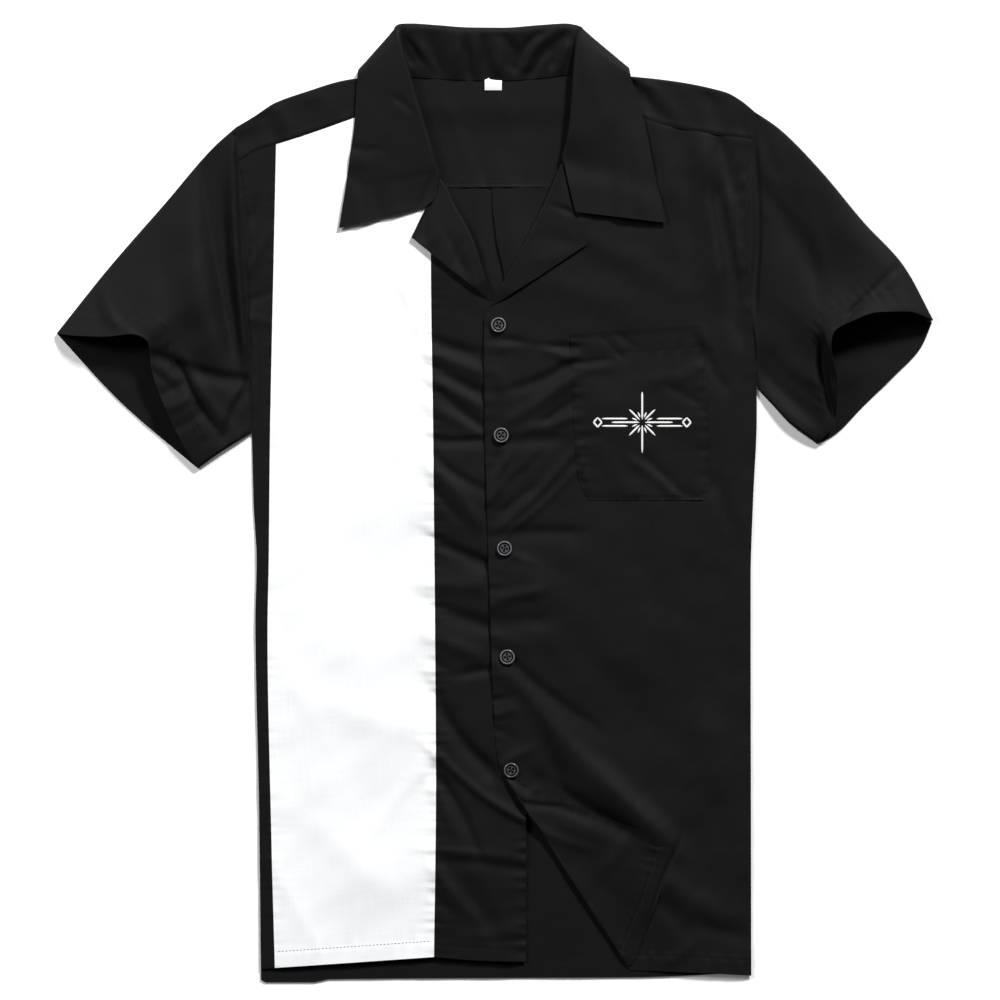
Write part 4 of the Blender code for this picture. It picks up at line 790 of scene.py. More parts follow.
backFolds = foldTable(
    (-9, 256, 0, 186, 2, 6, 0.4, 2.4, 2.0),           # soft ridge beside the pleat
    (-36, 250, -17, 214, 2, 4, 0.2, 1.0, 0.7),
    (16, 252, 22, 190, 0, 7, 0, 1.0, 0.6),
    (-33, 320, -22, 286, 0, 5, 0, 0.8, 0.5),
    (10, 330, 18, 300, 0, 7, 0, 0.7, 0.4),
    (-22, 268, -12, 290, 0, 4, 0, 0.7, 0.4),
)


def restingOn(height, least):
    # the higher of the two, rounded where they meet
    return 0.5 * (height + least + np.sqrt((height - least)**2 + 0.15))


def frontHeight(x, y):
    # level near the sides, lofted and slowly uneven in the middle
    off = np.clip(np.abs(x - lie["body centre"]) / lie["half width"], 0, 1)
    swell = lie["loft"] + crumple(x, y, amount=0.8, size=110, seed=7)
    return lie["front layer"] + swell * (1 - off**4)


def backTop(x, y):
    # what lies under the fronts: the back, and its pleat higher up
    return 0.75 + 2.9 * ease(y, 20, 125) * np.exp(-((x + 1) / 14)**2)


def hemRise(d, run, width, seed):
    # a turned hem d inside its edge: double cloth, the stitch line drawn in and puckered
    band = 0.3 * (1 - ease(d, width - 0.5, width + 1.2))
    sewn = d - width + hemStitch
    sewnLine = groove(sewn, depth=0.3, width=1.1)
    return band + sewnLine + pucker(run, sewn, pitch=8, depth=0.3, reach=5, seed=seed)


def rightFrontHeight(x, y):
    # the front's lie plus folds, flattened under the lap, and seams; its free end sinks
    folds = lie["fold depth"] * foldHeight(rightFolds, x, y)
    folds += crumple(x, y, amount=0.2, size=44, seed=3)
    folds += crumple(x, y, amount=0.08, size=15, seed=4) * ease(x, -60, -50)
    lapped = ease(y, -244, -228)
    ridges = np.maximum(folds, 0) * (1 - ease(x, -14, -5) * lapped)
    troughs = np.minimum(folds, 0) * (1 - ease(x, -2, 12) * lapped)
    seams = pucker(y, x - atY(sideSeam, y), pitch=9, depth=0.22, reach=5, seed=11)
    seams += pucker(y, x - atY(centreSeam, y), pitch=7, depth=0.42, reach=6,
                    seed=12) * (1 - ease(y, 150, 200))
    freeEnd = 2.0 * ease(x, 8, 25) * (1 - ease(y, -250, -225))
    height = frontHeight(x, y) + ridges + troughs + seams - freeEnd
    return restingOn(height, backTop(x, y))


def cornerSettle(x, y):
    # how far the cloth sinks to what lies under it beside the turned corner's fold
    # offFold is the distance from the fold's straight line through (7, -224)
    offFold = ((x - 7) * 158 + (y + 224) * 103) / np.hypot(158, 103)
    return np.interp(x, (7, 26, 40, 60), (1.2, 1.6, 4.8, 3.6)) * (1 - ease(offFold, 5, 55))


def leftFrontHeight(x, y):
    # the front's lie, lifted where it laps the right front, plus folds, less the corner's sink
    lap = 1 - ease(x, lie["lap inner"], lie["lap outer"])
    folds = lie["fold depth"] * foldHeight(leftFolds, x, y)
    coarse = crumple(x, y, amount=0.24, size=52, seed=5)
    folds += coarse + crumple(x, y, amount=0.08, size=17, seed=6)
    height = frontHeight(x, y) + lie["lap lift"] * lap + folds - cornerSettle(x, y)
    underneath = np.where(x < lie["lap inner"] + 1, frontHeight(x, y) + 0.62, backTop(x, y))
    return restingOn(height, underneath)


def sideLine(side, armhole, shares, lowY, highY):
    # a body edge from hem to yoke: side seam below the underarm, armhole above it
    y = lowY + shares * (highY - lowY)
    x = np.where(y < side["y"][-1], smoothCurve(side["y"], side["x"], y),
                 smoothCurve(armhole["y"], armhole["x"], y))
    return np.stack([x, y], axis=-1)


# the back, with its pleat
backPanel = {"columns": 34, "pleat depth": 9.0, "folded to": 175.0, "closed to": 125.0,
             "flat to": 20.0, "layer": 1.2, "right low": -389, "left low": -385, "high": 257,
             "hem corner": -188.0, "length": 648}
hemBelow = -340    # only rows below this can be part of a hem
pleatEdge = line((12, 20), (12, 125), (7.5, 188), (1.5, 216), (-2, 256), (-2, 260))
pleatSwell = rowsOf("x z", (-12, 0), (-3, 1.3), (0, 1.6), (6, 1.9), (12, 1.8), (20, 1.1), (28, 0.5),
                    (38, 0))


def pleatColumns(y):
    # the cloth runs along the surface, turns up and back over itself to the visible edge, and
    # turns again to run on above; lower down the two turns open until it is flat
    b = backPanel
    turn = np.pi * ease(y, b["flat to"], b["closed to"])[:, None]
    radius = b["layer"] / 2 / np.maximum(np.sin(turn / 2), 0.25)
    overlap = 0.4 + (b["pleat depth"] - 0.4) * ease(y, b["closed to"], b["folded to"])[:, None]
    bend = turn * np.linspace(0, 1, 9)
    bendX, bendZ = radius * np.sin(bend), radius * (1 - np.cos(bend))
    startX = -2 * bendX[:, -1:] - overlap * np.cos(turn)
    rise = 2 * bendZ[:, -1:] + overlap * np.sin(turn)
    zero = 0 * turn
    x = np.hstack([zero - 6, startX + bendX, -bendX[:, ::-1], zero + 3, zero + 6, zero + 10,
                   zero + 16, zero + 23, zero + 31, zero + 40])
    z = np.hstack([zero, bendZ, rise - bendZ[:, ::-1], 1.15 * rise, 1.3 * rise, 1.35 * rise,
                   1.2 * rise, 0.8 * rise, 0.3 * rise, zero])
    z *= 1 - 0.4 * ease(y, 215, 257)[:, None]
    spread = np.linspace(-6, 40, x.shape[1])[None, :]
    shown = ease(turn, 0, 0.7)
    edge = atY(pleatEdge, np.clip(y, 20, 260))[:, None]
    x = edge + b["layer"] / 2 + spread + shown * (x - spread)
    return x, lie["floor layer"] + shown * z


def makeBack():
    # across: side to pleat, the pleat's own columns, pleat to side; up: hem to back seam
    shares = spans(0, (0.03, 10), (0.62, 78), (1.0, 96))
    b = backPanel
    right = sideLine(rightSide, rightArmhole, shares, b["right low"], b["high"])
    left = sideLine(leftSide, leftArmhole, shares, b["left low"], b["high"])
    right[0] = (b["hem corner"], b["right low"])
    pleatX, pleatZ = pleatColumns(b["right low"] + shares * b["length"])
    across = steps(b["columns"])
    fromRight = np.linspace(0, 1, across + 1)[:-1]
    toLeft = np.linspace(0, 1, across + 1)[1:]
    x = np.hstack([right[:, :1] + fromRight * (pleatX[:, :1] - right[:, :1]), pleatX,
                   pleatX[:, -1:] + toLeft * (left[:, :1] - pleatX[:, -1:])])
    flat = np.full((len(shares), across), lie["floor layer"])
    z = np.hstack([flat, pleatZ, flat])
    hem, seam = atX(backHem, x), atX(backYokeSeam, x)
    y = hem + shares[:, None] * (seam - hem)
    folds = foldHeight(backFolds, x, y) + crumple(x, y, amount=0.14, size=40, seed=21)
    detail = folds + pucker(x, seam - y, pitch=9, depth=0.25, reach=5, seed=22) * (y > 200)
    detail = detail + hemRise(y - hem, x, width=lie["hem"], seed=23) * (y < hemBelow)
    points = np.stack([x, y, z + np.maximum(detail, -0.02)], axis=-1)
    return makeCloth("scene_back_panel", points, blackPoplin, zeroColumn=across)


# the yoke, over both shoulders
yoke = {"columns": (52, 64, 52), "under rows": 34, "turn rows": 10, "over rows": 24,
        "right side": (-210.6, 281), "left side": (211.8, 294)}


def yokeBackHeight(x, y):
    # the under layer lies on the surface, but climbs over the collar's leaf
    overLeaf = ease(y, 304, 327) * (1 - ease(np.abs(x), 112, 138))
    return lie["floor layer"] + 1.2 * overLeaf


def makeYoke():
    # under layer from the back seam up to shoulders and neck, then over to the fronts' seams
    right, neck, _ = (steps(count) for count in yoke["columns"])
    underRows, turnRows, overRows = (steps(yoke[name]) for name in
                                     ("under rows", "turn rows", "over rows"))
    neckEnds = backNeck["x"][[0, -1]]
    shoulderX = spans(shoulder["x"][0], *zip((*neckEnds, shoulder["x"][-1]), yoke["columns"]))
    outline = atX(shoulder, shoulderX)
    fold = np.stack([shoulderX, outline], axis=-1)
    rightEnd, leftEnd = rightYokeSeam["x"][-1], leftYokeSeam["x"][0]
    seamX = spans(rightArmhole["x"][-2], *zip((rightEnd, leftEnd, leftArmhole["x"][-2]),
                                              yoke["columns"]))
    seamY = np.where(seamX < 0, atX(rightYokeSeam, np.minimum(seamX, rightEnd)),
                     atX(leftYokeSeam, np.maximum(seamX, leftEnd)))
    topZ, underZ = frontHeight(shoulderX, outline), yokeBackHeight(shoulderX, outline)
    radius = (topZ - underZ) / 2
    outward = leftOf(fold)
    crest = fold - outward * (radius + clothThickness / 2)[:, None]
    column = np.arange(len(shoulderX))
    inNeck = (column > right) & (column < right + neck)
    neckline = np.stack([shoulderX, atX(backNeck, np.clip(shoulderX, *neckEnds))], axis=-1)
    high = np.where(inNeck[:, None], neckline, crest)
    lowX = np.linspace(*backYokeSeam["x"][[0, -1]], len(shoulderX))
    low = np.stack([lowX, atX(backYokeSeam, lowX)], axis=-1)
    side = np.linspace(0, 1, underRows + 1)
    under = patch(low, high, along(line(low[0], yoke["right side"], high[0]), side),
                  along(line(low[-1], yoke["left side"], high[-1]), side))
    x, y = under[..., 0], under[..., 1]
    detail = foldHeight(backFolds, x, y) + crumple(x, y, amount=0.14, size=34, seed=31)
    seamGap = y - atX(backYokeSeam, x)
    detail += ridge(seamGap, height=0.8, width=4.0) + groove(seamGap - 2.6, depth=0.4, width=0.8)
    detail += pucker(x, seamGap - 2, pitch=9, depth=0.3, reach=5, seed=32)
    detail += np.interp(x, pleatSwell["x"], pleatSwell["z"]) * (1 - ease(seamGap, 1, 45))
    under = raised(under, yokeBackHeight(x, y) + np.maximum(detail, -0.02))
    angles = np.radians(np.linspace(-90, 90, turnRows + 1))[1:, None]
    turn = high[None] + outward[None] * (radius * np.cos(angles))[..., None]
    turn = raised(turn, (under[-1, :, 2] + topZ) / 2
                  + np.sin(angles) * (topZ - under[-1, :, 2]) / 2)
    seam = np.stack([seamX, seamY], axis=-1)
    share = (np.arange(1, overRows + 1) / overRows)[:, None, None]
    over = high[None] + share * (seam - high)[None]
    over[:, 0, 0] = atY(rightArmhole, over[:, 0, 1]) - 0.5
    over[:, -1, 0] = atY(leftArmhole, over[:, -1, 1]) + 0.5
    x, y = over[..., 0], over[..., 1]
    detail = lie["fold depth"] * foldHeight(yokeFolds, x, y)
    detail += crumple(x, y, amount=0.22, size=40, seed=33)
    gap = np.linalg.norm(over - seam[None], axis=-1)
    detail += groove(gap, depth=0.3, width=1.0) + ridge(gap - 3, height=0.25, width=2.2)
    detail += pucker(x, gap - 2, pitch=8, depth=0.3, reach=5, seed=34)
    detail *= np.clip(share[..., 0] * 6, 0, 1)
    over = raised(over, restingOn(frontHeight(x, y) + detail, 1.2))
    points = np.concatenate([under, turn, over])
    keep = np.ones((points.shape[0] - 1, points.shape[1] - 1), bool)
    keep[underRows:, right:right + neck] = False
    return makeCloth("scene_yoke", points, blackPoplin, keep=keep,
                     zeroColumn=right + neck // 2)


# the right front: side strip, white insert, centre piece with its lapel
rightFront = {"break": 0.825, "rows below": 250, "rows above": 64, "strip": 8, "insert": 60,
              "neck columns": 14, "centre": 36, "lapel roll": 1.9, "roll steps": 8,
              "lapel steps": 30, "strip hem": 14, "insert hem": 15, "centre hem": 13,
              "overlap low": -376, "overlap high": 148}
# how far each lapel's edge stands up, from its foot by its tip to the gorge
rightLapelGap = rowsOf("share gap", (0, 2.5), (0.2, 4.8), (0.75, 3.8), (1, 3.0))
leftLapelGap = rowsOf("share gap", (0, 2.0), (0.14, 4.2), (0.625, 2.2), (1, 1.5))
gorge = {}    # each lapel's seam to the collar, as it was made


def evenRun(start, end, count):
    # points at count even steps from start to end
    return np.linspace(start, end, count + 1)


def hemmed(plan, hemLine, seed, width):
    # hem rise over a piece whose hem runs along hemLine, left to right
    x, y = plan[..., 0], plan[..., 1]
    d = y - atX(hemLine, np.clip(x, hemLine["x"].min(), hemLine["x"].max()))
    return hemRise(d, x, width=width, seed=seed) * (d < width + 25)


def seamAllowance(across):
    # the cloth folded in beside an armhole lifts a low ridge
    return ridge(across - 1.5, height=0.35, width=1.6)


def makeRightFront():
    # strip, insert and centre piece share the rows where they meet
    r = rightFront
    shares = spans(0, (r["break"], r["rows below"]), (1, r["rows above"]))
    seamLow, seamHigh = along(sideSeam, shares), along(centreSeam, shares)
    outer = sideLine(rightSide, rightArmhole, shares, rightSide["y"][0], rightYokeSeam["y"][0])
    across = steps(r["strip"])
    strip = patch(evenRun(outer[0], seamLow[0], across), evenRun(outer[-1], seamLow[-1], across),
                  outer, seamLow)
    strip[-1, 1:-1, 1] = atX(rightYokeSeam, strip[-1, 1:-1, 0])
    x, y = strip[..., 0], strip[..., 1]
    gap = x - seamLow[:, :1]
    z = rightFrontHeight(x, y) + groove(gap, depth=0.35, width=1.0)
    z += hemRise(y - y[:1], x, width=r["strip hem"], seed=41) * (y < hemBelow)
    underarm = rightArmhole["y"][0]
    z -= 0.5 * ease(x, outer[:, :1] + 4, outer[:, :1]) * (y < underarm)
    armhole = x - outer[:, :1]
    sewn = seamAllowance(armhole) + pucker(y, armhole, pitch=9, depth=0.2, reach=4, seed=42)
    z += sewn * (y > underarm)
    makeCloth("scene_right_front_side", raised(strip, z), blackPoplin)

    inNeck = steps(r["neck columns"])
    across = steps(r["insert"])
    topX = np.linspace(seamLow[-1, 0], rightNeckline["x"][0], across - inNeck + 1)
    neckY = np.linspace(rightNeckline["y"][0], seamHigh[-1, 1], inNeck + 1)[1:]
    top = np.concatenate([np.stack([topX, atX(rightYokeSeam, topX)], axis=-1),
                          np.stack([atY(rightNeckline, neckY), neckY], axis=-1)])
    top[0], top[-1] = seamLow[-1], seamHigh[-1]
    insert = patch(evenRun(seamLow[0], seamHigh[0], across), top, seamLow, seamHigh)
    x, y = insert[..., 0], insert[..., 1]
    z = rightFrontHeight(x, y) + groove(x - seamLow[:, :1], depth=0.1, width=0.8)
    turned = hemmed(insert, insertHem, seed=43, width=r["insert hem"])
    z += groove(x - seamHigh[:, :1], depth=0.1, width=0.8) + 0.15 + turned
    makeCloth("scene_right_front_insert", raised(insert, z), whitePoplin)
    makeRightCentre(seamHigh)


def blendIn(rollSteps, flatSteps):
    # 1 at the fold line, 0 from the end of the roll on
    return np.concatenate([np.linspace(1, 0, rollSteps), np.zeros(flatSteps)])[None, :]


def lapelRise(plan, share, radius, edgeGap):
    # the turned-back cloth stands twice the roll's radius up, and sinks to the gap at its edge
    radius = radius[:, None]
    edgeGap = np.interp(np.linspace(0, 1, len(radius)), edgeGap["share"], edgeGap["gap"])[:, None]
    flat = edgeGap + (2 * radius - edgeGap) * (1 - share)**1.4
    flat = np.where(2 * radius < edgeGap, 2 * radius, flat)
    folds = lie["fold depth"] * foldHeight(lapelFolds, plan[..., 0], plan[..., 1])
    return flat + folds * share * (1 - share**6)


def makeRightCentre(seam):
    # the body patch, and past its upper edge the lapel: a half-round roll and its flat cloth
    r = rightFront
    across, above, below = (steps(r[name]) for name in ("centre", "rows above", "rows below"))
    fromFoot = np.linspace(0, 1, above + 1)
    rollLine = along(rightRoll, fromFoot)
    radius = r["lapel roll"] * (0.15 + 0.85 * ease(fromFoot, 0, 0.18))
    inner, outward = drawnIn(rollLine, (radius + clothThickness / 2)[:, None], 1)
    low, high = r["overlap low"], r["overlap high"]
    edgeY = np.concatenate([np.linspace(low, high, below)[:-1], [high, inner[0, 1]]])
    hidden = line((25.8, low), (25.8, 110), (20, 132), inner[0])    # under the left front
    edge = np.concatenate([np.stack([smoothCurve(hidden["y"], hidden["x"], edgeY), edgeY],
                                    axis=-1), inner[1:]])
    low = evenRun(seam[0], edge[0], across)
    low[1:-1, 1] = atX(centreHem, low[1:-1, 0])
    high = evenRun(seam[-1], edge[-1], across)
    share = np.linspace(0, 1, across + 1)[:, None]
    high = high + share * (1 - share) * np.array([-6.0, -4.0])
    body = patch(low, high, seam, edge)
    x, y = body[..., 0], body[..., 1]
    bodyZ = rightFrontHeight(x, y) + groove(x - seam[:, :1], depth=0.45, width=1.0)
    bodyZ += hemmed(body, centreHem, seed=51, width=r["centre hem"])
    frontGap = edge[:, :1] - x
    bodyZ += pucker(y, frontGap - 2, pitch=8, depth=0.5, reach=6,
                    seed=52) * (1 - ease(y, -262, -246))
    rollSteps, flatSteps = r["roll steps"], steps(r["lapel steps"])
    outer = cornered(rightLapelEdge, fromFoot)
    plan, rise = turnedFlap(inner, outward, outer, radius, rollSteps, flatSteps)
    flat = np.arange(1, flatSteps + 1) / flatSteps
    plan[-1, rollSteps:] = along(rightGorge, flat)
    rise[:, rollSteps:] = lapelRise(plan[:, rollSteps:], flat[None, :], radius, rightLapelGap)
    rows = below + above + 1
    columns = rollSteps + flatSteps
    flap, flapZ = np.zeros((rows, columns, 2)), np.zeros((rows, columns))
    flap[below:], flapZ[below:] = plan, frontHeight(plan[..., 0], plan[..., 1]) + rise
    flapZ += blendIn(rollSteps, flatSteps) * (bodyZ[:, -1:] - frontHeight(edge[:, :1], edge[:, 1:]))
    points = np.concatenate([raised(body, bodyZ), raised(flap, flapZ)], axis=1)
    keep = np.ones((rows - 1, across + columns), bool)
    keep[:below, across:] = False
    makeCloth("scene_right_front_centre", points, blackPoplin, keep=keep)
    gorge["right"] = points[-1, across:]


# the left front: turned corner, front edge, lapel, neckline
leftFront = {"corner rows": 96, "edge rows": 170, "lapel rows": 64, "neck rows": 36,
             "across": 92, "corner roll": 1.2, "lapel roll": 1.5, "roll steps": 8,
             "flap steps": 58, "corner edge gap": 1.0}


def makeLeftFront():
    # the body patch, its inner edge made of the corner's fold, the front edge, the lapel's roll and
    # the neckline; corner and lapel are flaps that turn back over it from their parts of that edge
    p = leftFront
    corner, edge, lapel, neck = (steps(p[name]) for name in
                                 ("corner rows", "edge rows", "lapel rows", "neck rows"))
    across, rollSteps, flatSteps = steps(p["across"]), p["roll steps"], steps(p["flap steps"])
    tip = 1 - cornerEdge["share"][3]
    fromHem = np.concatenate([[0], np.linspace(0.01, tip, corner // 3),
                              np.linspace(tip, 0.985, corner - corner // 3)[1:], [1]])
    opened = ease(fromHem, 0.0, 0.06) * (1 - ease(fromHem, 0.95, 1.0))
    cornerRadius = p["corner roll"] * (0.2 + 0.8 * opened)
    foldLine, foldOutward = drawnIn(along(cornerFold, 1 - fromHem),
                                    (cornerRadius + clothThickness / 2)[:, None], -1)
    fromFoot = np.linspace(0, 1, lapel + 1)
    lapelRadius = p["lapel roll"] * (0.2 + 0.8 * ease(fromFoot, 0, 0.15))
    rollLine, rollOutward = drawnIn(along(leftRoll, fromFoot),
                                    (lapelRadius + clothThickness / 2)[:, None], -1)
    frontEdge = along(leftFrontEdge, np.linspace(0, 1, edge + 1))
    frontEdge[0], frontEdge[-1] = foldLine[-1], rollLine[0]
    neckline = along(leftNeckline, np.linspace(0, 1, neck + 1))
    inner = np.concatenate([foldLine, frontEdge[1:], rollLine[1:], neckline[1:]])
    shares = (inner[:, 1] - inner[0, 1]) / (inner[-1, 1] - inner[0, 1])
    outer = sideLine(leftSide, leftArmhole, shares, leftSide["y"][0], leftYokeSeam["y"][-1])
    low = evenRun(inner[0], outer[0], across)
    low[1:-1, 1] = atX(leftHem, np.maximum(low[1:-1, 0], leftHem["x"][0]))
    highX = np.linspace(inner[-1, 0], outer[-1, 0], across + 1)
    high = np.stack([highX, atX(leftYokeSeam, highX)], axis=-1)
    body = patch(low, high, inner, outer)
    x, y = body[..., 0], body[..., 1]
    z = leftFrontHeight(x, y) + hemmed(body, leftHem, seed=61, width=lie["hem"]) * (x > 100)
    armhole = outer[:, :1] - x
    above = ease(y, 90, 100)
    sewn = seamAllowance(armhole) + pucker(y, armhole, pitch=9, depth=0.25, reach=5, seed=62)
    z += above * sewn
    z -= (1 - above) * 0.5 * (1 - ease(armhole, 0, 5))
    neckEnd = leftYokeSeam["x"][0]
    seamGap = atX(leftYokeSeam, np.maximum(x, neckEnd)) - y
    z += groove(seamGap, depth=0.35, width=1.0) * (x > neckEnd)
    edgeGap = x - inner[:, :1]
    onEdge = (y > cornerFold["y"][0]) & (y < 160)
    drawn = pucker(y, edgeGap - 3, pitch=9, depth=0.22, reach=6, seed=63)
    z += onEdge * (drawn - 0.35 * (1 - ease(edgeGap, 0, 2.2)))

    rows, columns = corner + edge + lapel + neck + 1, rollSteps + flatSteps
    flap, flapZ = np.zeros((rows, columns, 2)), np.zeros((rows, columns))
    outline = cornered(cornerEdge, 1 - fromHem)
    plan, rise = turnedFlap(foldLine, foldOutward, outline, cornerRadius, rollSteps, flatSteps)
    flat = (np.arange(1, flatSteps + 1) / flatSteps)[None, :]
    sink = (1 - ease(flat, 0.05, 0.8)) * (2 * cornerRadius[:, None] - p["corner edge gap"])
    rise[:, rollSteps:] = np.minimum(p["corner edge gap"] + sink, 2 * cornerRadius[:, None])
    fx, fy = plan[..., 0], plan[..., 1]
    over = smoothBase(fx, fy) + rise
    distance, run = awayFrom(cornerHem, fx, fy)
    onFlap = np.concatenate([np.zeros(rollSteps), np.ones(flatSteps)])[None, :]
    drape = foldHeight(flapFolds, fx, fy) + crumple(fx, fy, amount=0.14, size=26, seed=64)
    turnedHem = hemRise(-distance, run, width=lie["hem"], seed=65)
    turnedHem = turnedHem + groove(-distance - lie["hem"] + hemStitch, depth=0.5, width=0.9)
    over += onFlap * (drape + turnedHem * (distance > -40))
    topGap, topRun = awayFrom(cornerTop, fx, fy)
    over += onFlap * pucker(topRun, topGap + 2, pitch=8, depth=0.35, reach=5, seed=66)
    flap[:corner + 1], flapZ[:corner + 1] = plan, over
    start, stop = corner + edge, corner + edge + lapel + 1
    outline = cornered(leftLapelEdge, fromFoot)
    plan, rise = turnedFlap(rollLine, rollOutward, outline, lapelRadius, rollSteps, flatSteps)
    rise[:, rollSteps:] = lapelRise(plan[:, rollSteps:], flat, lapelRadius, leftLapelGap)
    flap[start:stop] = plan
    flapZ[start:stop] = smoothBase(plan[..., 0], plan[..., 1]) + rise
    flapZ += blendIn(rollSteps, flatSteps) * (z[:, :1] - smoothBase(inner[:, :1], inner[:, 1:]))
    points = np.concatenate([raised(flap, flapZ)[:, ::-1], raised(body, z)], axis=1)
    keep = np.zeros((rows - 1, columns + across), bool)
    keep[:, columns:] = True
    keep[1:corner - 1, :columns] = True
    keep[start:stop - 1, :columns] = True
    makeCloth("scene_left_front", points, blackPoplin, keep=keep, zeroColumn=columns)
    gorge["left"] = points[start + 3 * lapel // 4:stop, 0]


def smoothBase(x, y):
    # the left front's lie with only its broad folds, for the cloth turned back over it
    lap = 1 - ease(x, lie["lap inner"], lie["lap outer"])
    broad = {name: column[:6] for name, column in leftFolds.items()}
    height = frontHeight(x, y) + lie["lap lift"] * lap + foldHeight(broad, x, y)
    height -= cornerSettle(x, y)
    return restingOn(height, backTop(x, y) + 0.3)


# the pocket
pocket = {"across": 60, "up": 74, "gap": 0.8}
pocketInner = lineShares((78, 2.5, 0), (70.5, 16, 0.1), (67.6, 30, 0.2), (62, 139, 1))
pocketOuter = lineShares((171, 2.5, 0), (175.8, 8, 0.1), (176.6, 20, 0.2), (170, 146, 1))
pocketFolds = foldTable(
    (65, 117, 90, 119, 1, 3.4, 0.3, -0.9, -0.7),
    (67, 110, 92, 112, 0, 4, 0, 0.8, 0.5),
    (67, 54, 84, 56, 0, 3.4, 0, -0.9, -0.6),
    (118, 33, 152, 4, -2, 4.2, 0, 0.9, 0.8),
    (128, 36, 158, 8, 0, 4.2, 0, -0.8, -0.7),
    (96, 40, 120, 8, 2, 8, 0, 0.6, 0.4),
    (140, 104, 172, 112, 2, 6, 0, 0.8, 0.9),
    (150, 94, 176, 80, 0, 4, 0, -0.8, -1.0),
    (104, 138, 118, 128, 0, 2.6, 0, -0.7, -0.5),
    (92, 134, 104, 122, 0, 2.6, 0, -0.6, -0.7),
    (70, 44, 76, 22, 0, 3, 0, 0.8, 0.7),
    (66, 136, 70, 126, 0, 2.4, 0, -0.8, -0.5),
)


def pocketHeight(x, y):
    # the left front's height, plus the patch's own puff, sewn edges, top hem and folds
    inward, _ = awayFrom(pocketInner, x, y)
    outward, _ = awayFrom(pocketOuter, x, y)
    top = 139 + (x - 62) * 7 / 108 - y    # distance below the top edge
    near = np.minimum(np.minimum(-inward, outward), np.minimum(y - 2.5, top + 4))
    puff = 0.3 * ease(near, 0, 14)
    sewn = pucker(y, -inward - 2, pitch=7, depth=0.42, reach=5, seed=71)
    sewn = sewn + pucker(y, outward - 2, pitch=8, depth=0.4, reach=6, seed=72)
    foot = pucker(x, y - 4.5, pitch=8, depth=0.25, reach=4, seed=73)
    sewn += foot - 0.22 * (1 - ease(near, 0, 1.2))
    sewn += groove(near - 2.0, depth=0.35, width=0.9)
    hem = 0.25 * (1 - ease(top, 18, 20)) + groove(top - 17.5, depth=0.25, width=1.0)
    hemPucker = pucker(x, top - 17.5, pitch=9, depth=0.25, reach=5, seed=74)
    hem += hemPucker + 0.6 * (1 - ease(top, 0, 5))
    folds = foldHeight(pocketFolds, x, y) * ease(near, 0, 5)
    return leftFrontHeight(x, y) + pocket["gap"] + puff + np.maximum(sewn, -0.4) + hem + folds


def makePocket():
    # a patch between its two long sides
    across, up = steps(pocket["across"]), steps(pocket["up"])
    inner, outer = (along(side, np.linspace(0, 1, up + 1)) for side in (pocketInner, pocketOuter))
    plan = patch(evenRun(inner[0], outer[0], across), evenRun(inner[-1], outer[-1], across),
                 inner, outer)
    points = raised(plan, pocketHeight(plan[..., 0], plan[..., 1]))
    return makeCloth("scene_pocket", points, blackPoplin)


# the sleeves
sleeveShape = {"rings": ((0.12, 14), (1, 60)), "over": 96, "under": 56, "turn": 8, "hem": 20.0,
               "stitches in": 18.0}
rightSleeve = {
    "name": "scene_sleeve_right",
    "shoulder": line((-212, 308), (-231, 291), (-268, 248), (-318, 190.5), (-359, 139)),
    "underarm": line((-199, 57), (-214, 48), (-228, 39), (-243, 28)),
    "armhole": lineShares((-212, 308, 0), (-209.5, 280, 0.11), (-204.6, 251, 0.23),
                          (-201, 207.5, 0.4), (-202, 177, 0.52), (-200, 129, 0.71),
                          (-199, 57, 1)),
    "mouth back": lineShares((-359, 139, 0), (-307, 83, 0.48), (-243, 28, 1)),
    "mouth front": rowsOf("x y z share", (-359, 139, 2.6, 0), (-342, 136.8, 12, 0.1),
                          (-318, 136, 19, 0.24), (-297, 138, 20, 0.35), (-283, 131, 17.5, 0.46),
                          (-281, 112, 14.5, 0.56), (-267, 72, 10.5, 0.74), (-254, 46, 6, 0.89),
                          (-243, 28, 2.8, 1)),
    "folds": foldTable(
        (-231, 286, -211, 142, 2, 8.5, 0.1, -8.0, -6.0),    # trough outside the armhole
        (-212, 296, -203, 136, 2, 4.2, 0.5, 8.5, 6.5),
        (-252, 262, -228, 146, 2, 16, 0, 6.0, 5.0),
        (-286, 224, -268, 150, 0, 14, 0, 1.4, 2.2),
        (-320, 188, -311, 153, 2, 4, 0.3, 3.4, 2.6),        # kink at the hem
        (-330, 178, -320, 150, 0, 7, 0, -3.4, -2.8),
        (-310, 152, -284, 131, 1, 3.6, 0, 1.4, 1.2),
        (-270, 122, -203, 103, 3, 6, 0.3, -2.8, -3.6),      # band under the swell
        (-252, 105, -224, 60, 3, 4.0, 0.3, -3.0, -2.2),
        (-246, 110, -216, 66, 3, 5.0, 0, 2.4, 1.8),
        (-204, 90, -217, 60, 2, 4.0, 0, -2.4, -1.6),
        (-208, 96, -222, 62, 2, 3.4, 0, 1.8, 1.2),
        (-268, 92, -250, 100, 0, 4, 0, -1.4, -0.8),
        (-262, 80, -244, 86, 0, 4, 0, 1.2, 0.8),
        (-256, 64, -240, 74, 0, 4, 0, -1.2, -0.9),
        (-276, 108, -262, 96, 0, 4, 0, -1.5, -0.8),
        (-236, 48, -226, 58, 0, 4, 0, 1.0, 0.8),
    ),
    "armhole height": rightFrontHeight,
    "swell": 4.5,
    "power": 2.4,
    "edge loft": 0.0,
    "under loft": 2.5,
    "seed": 80,
}
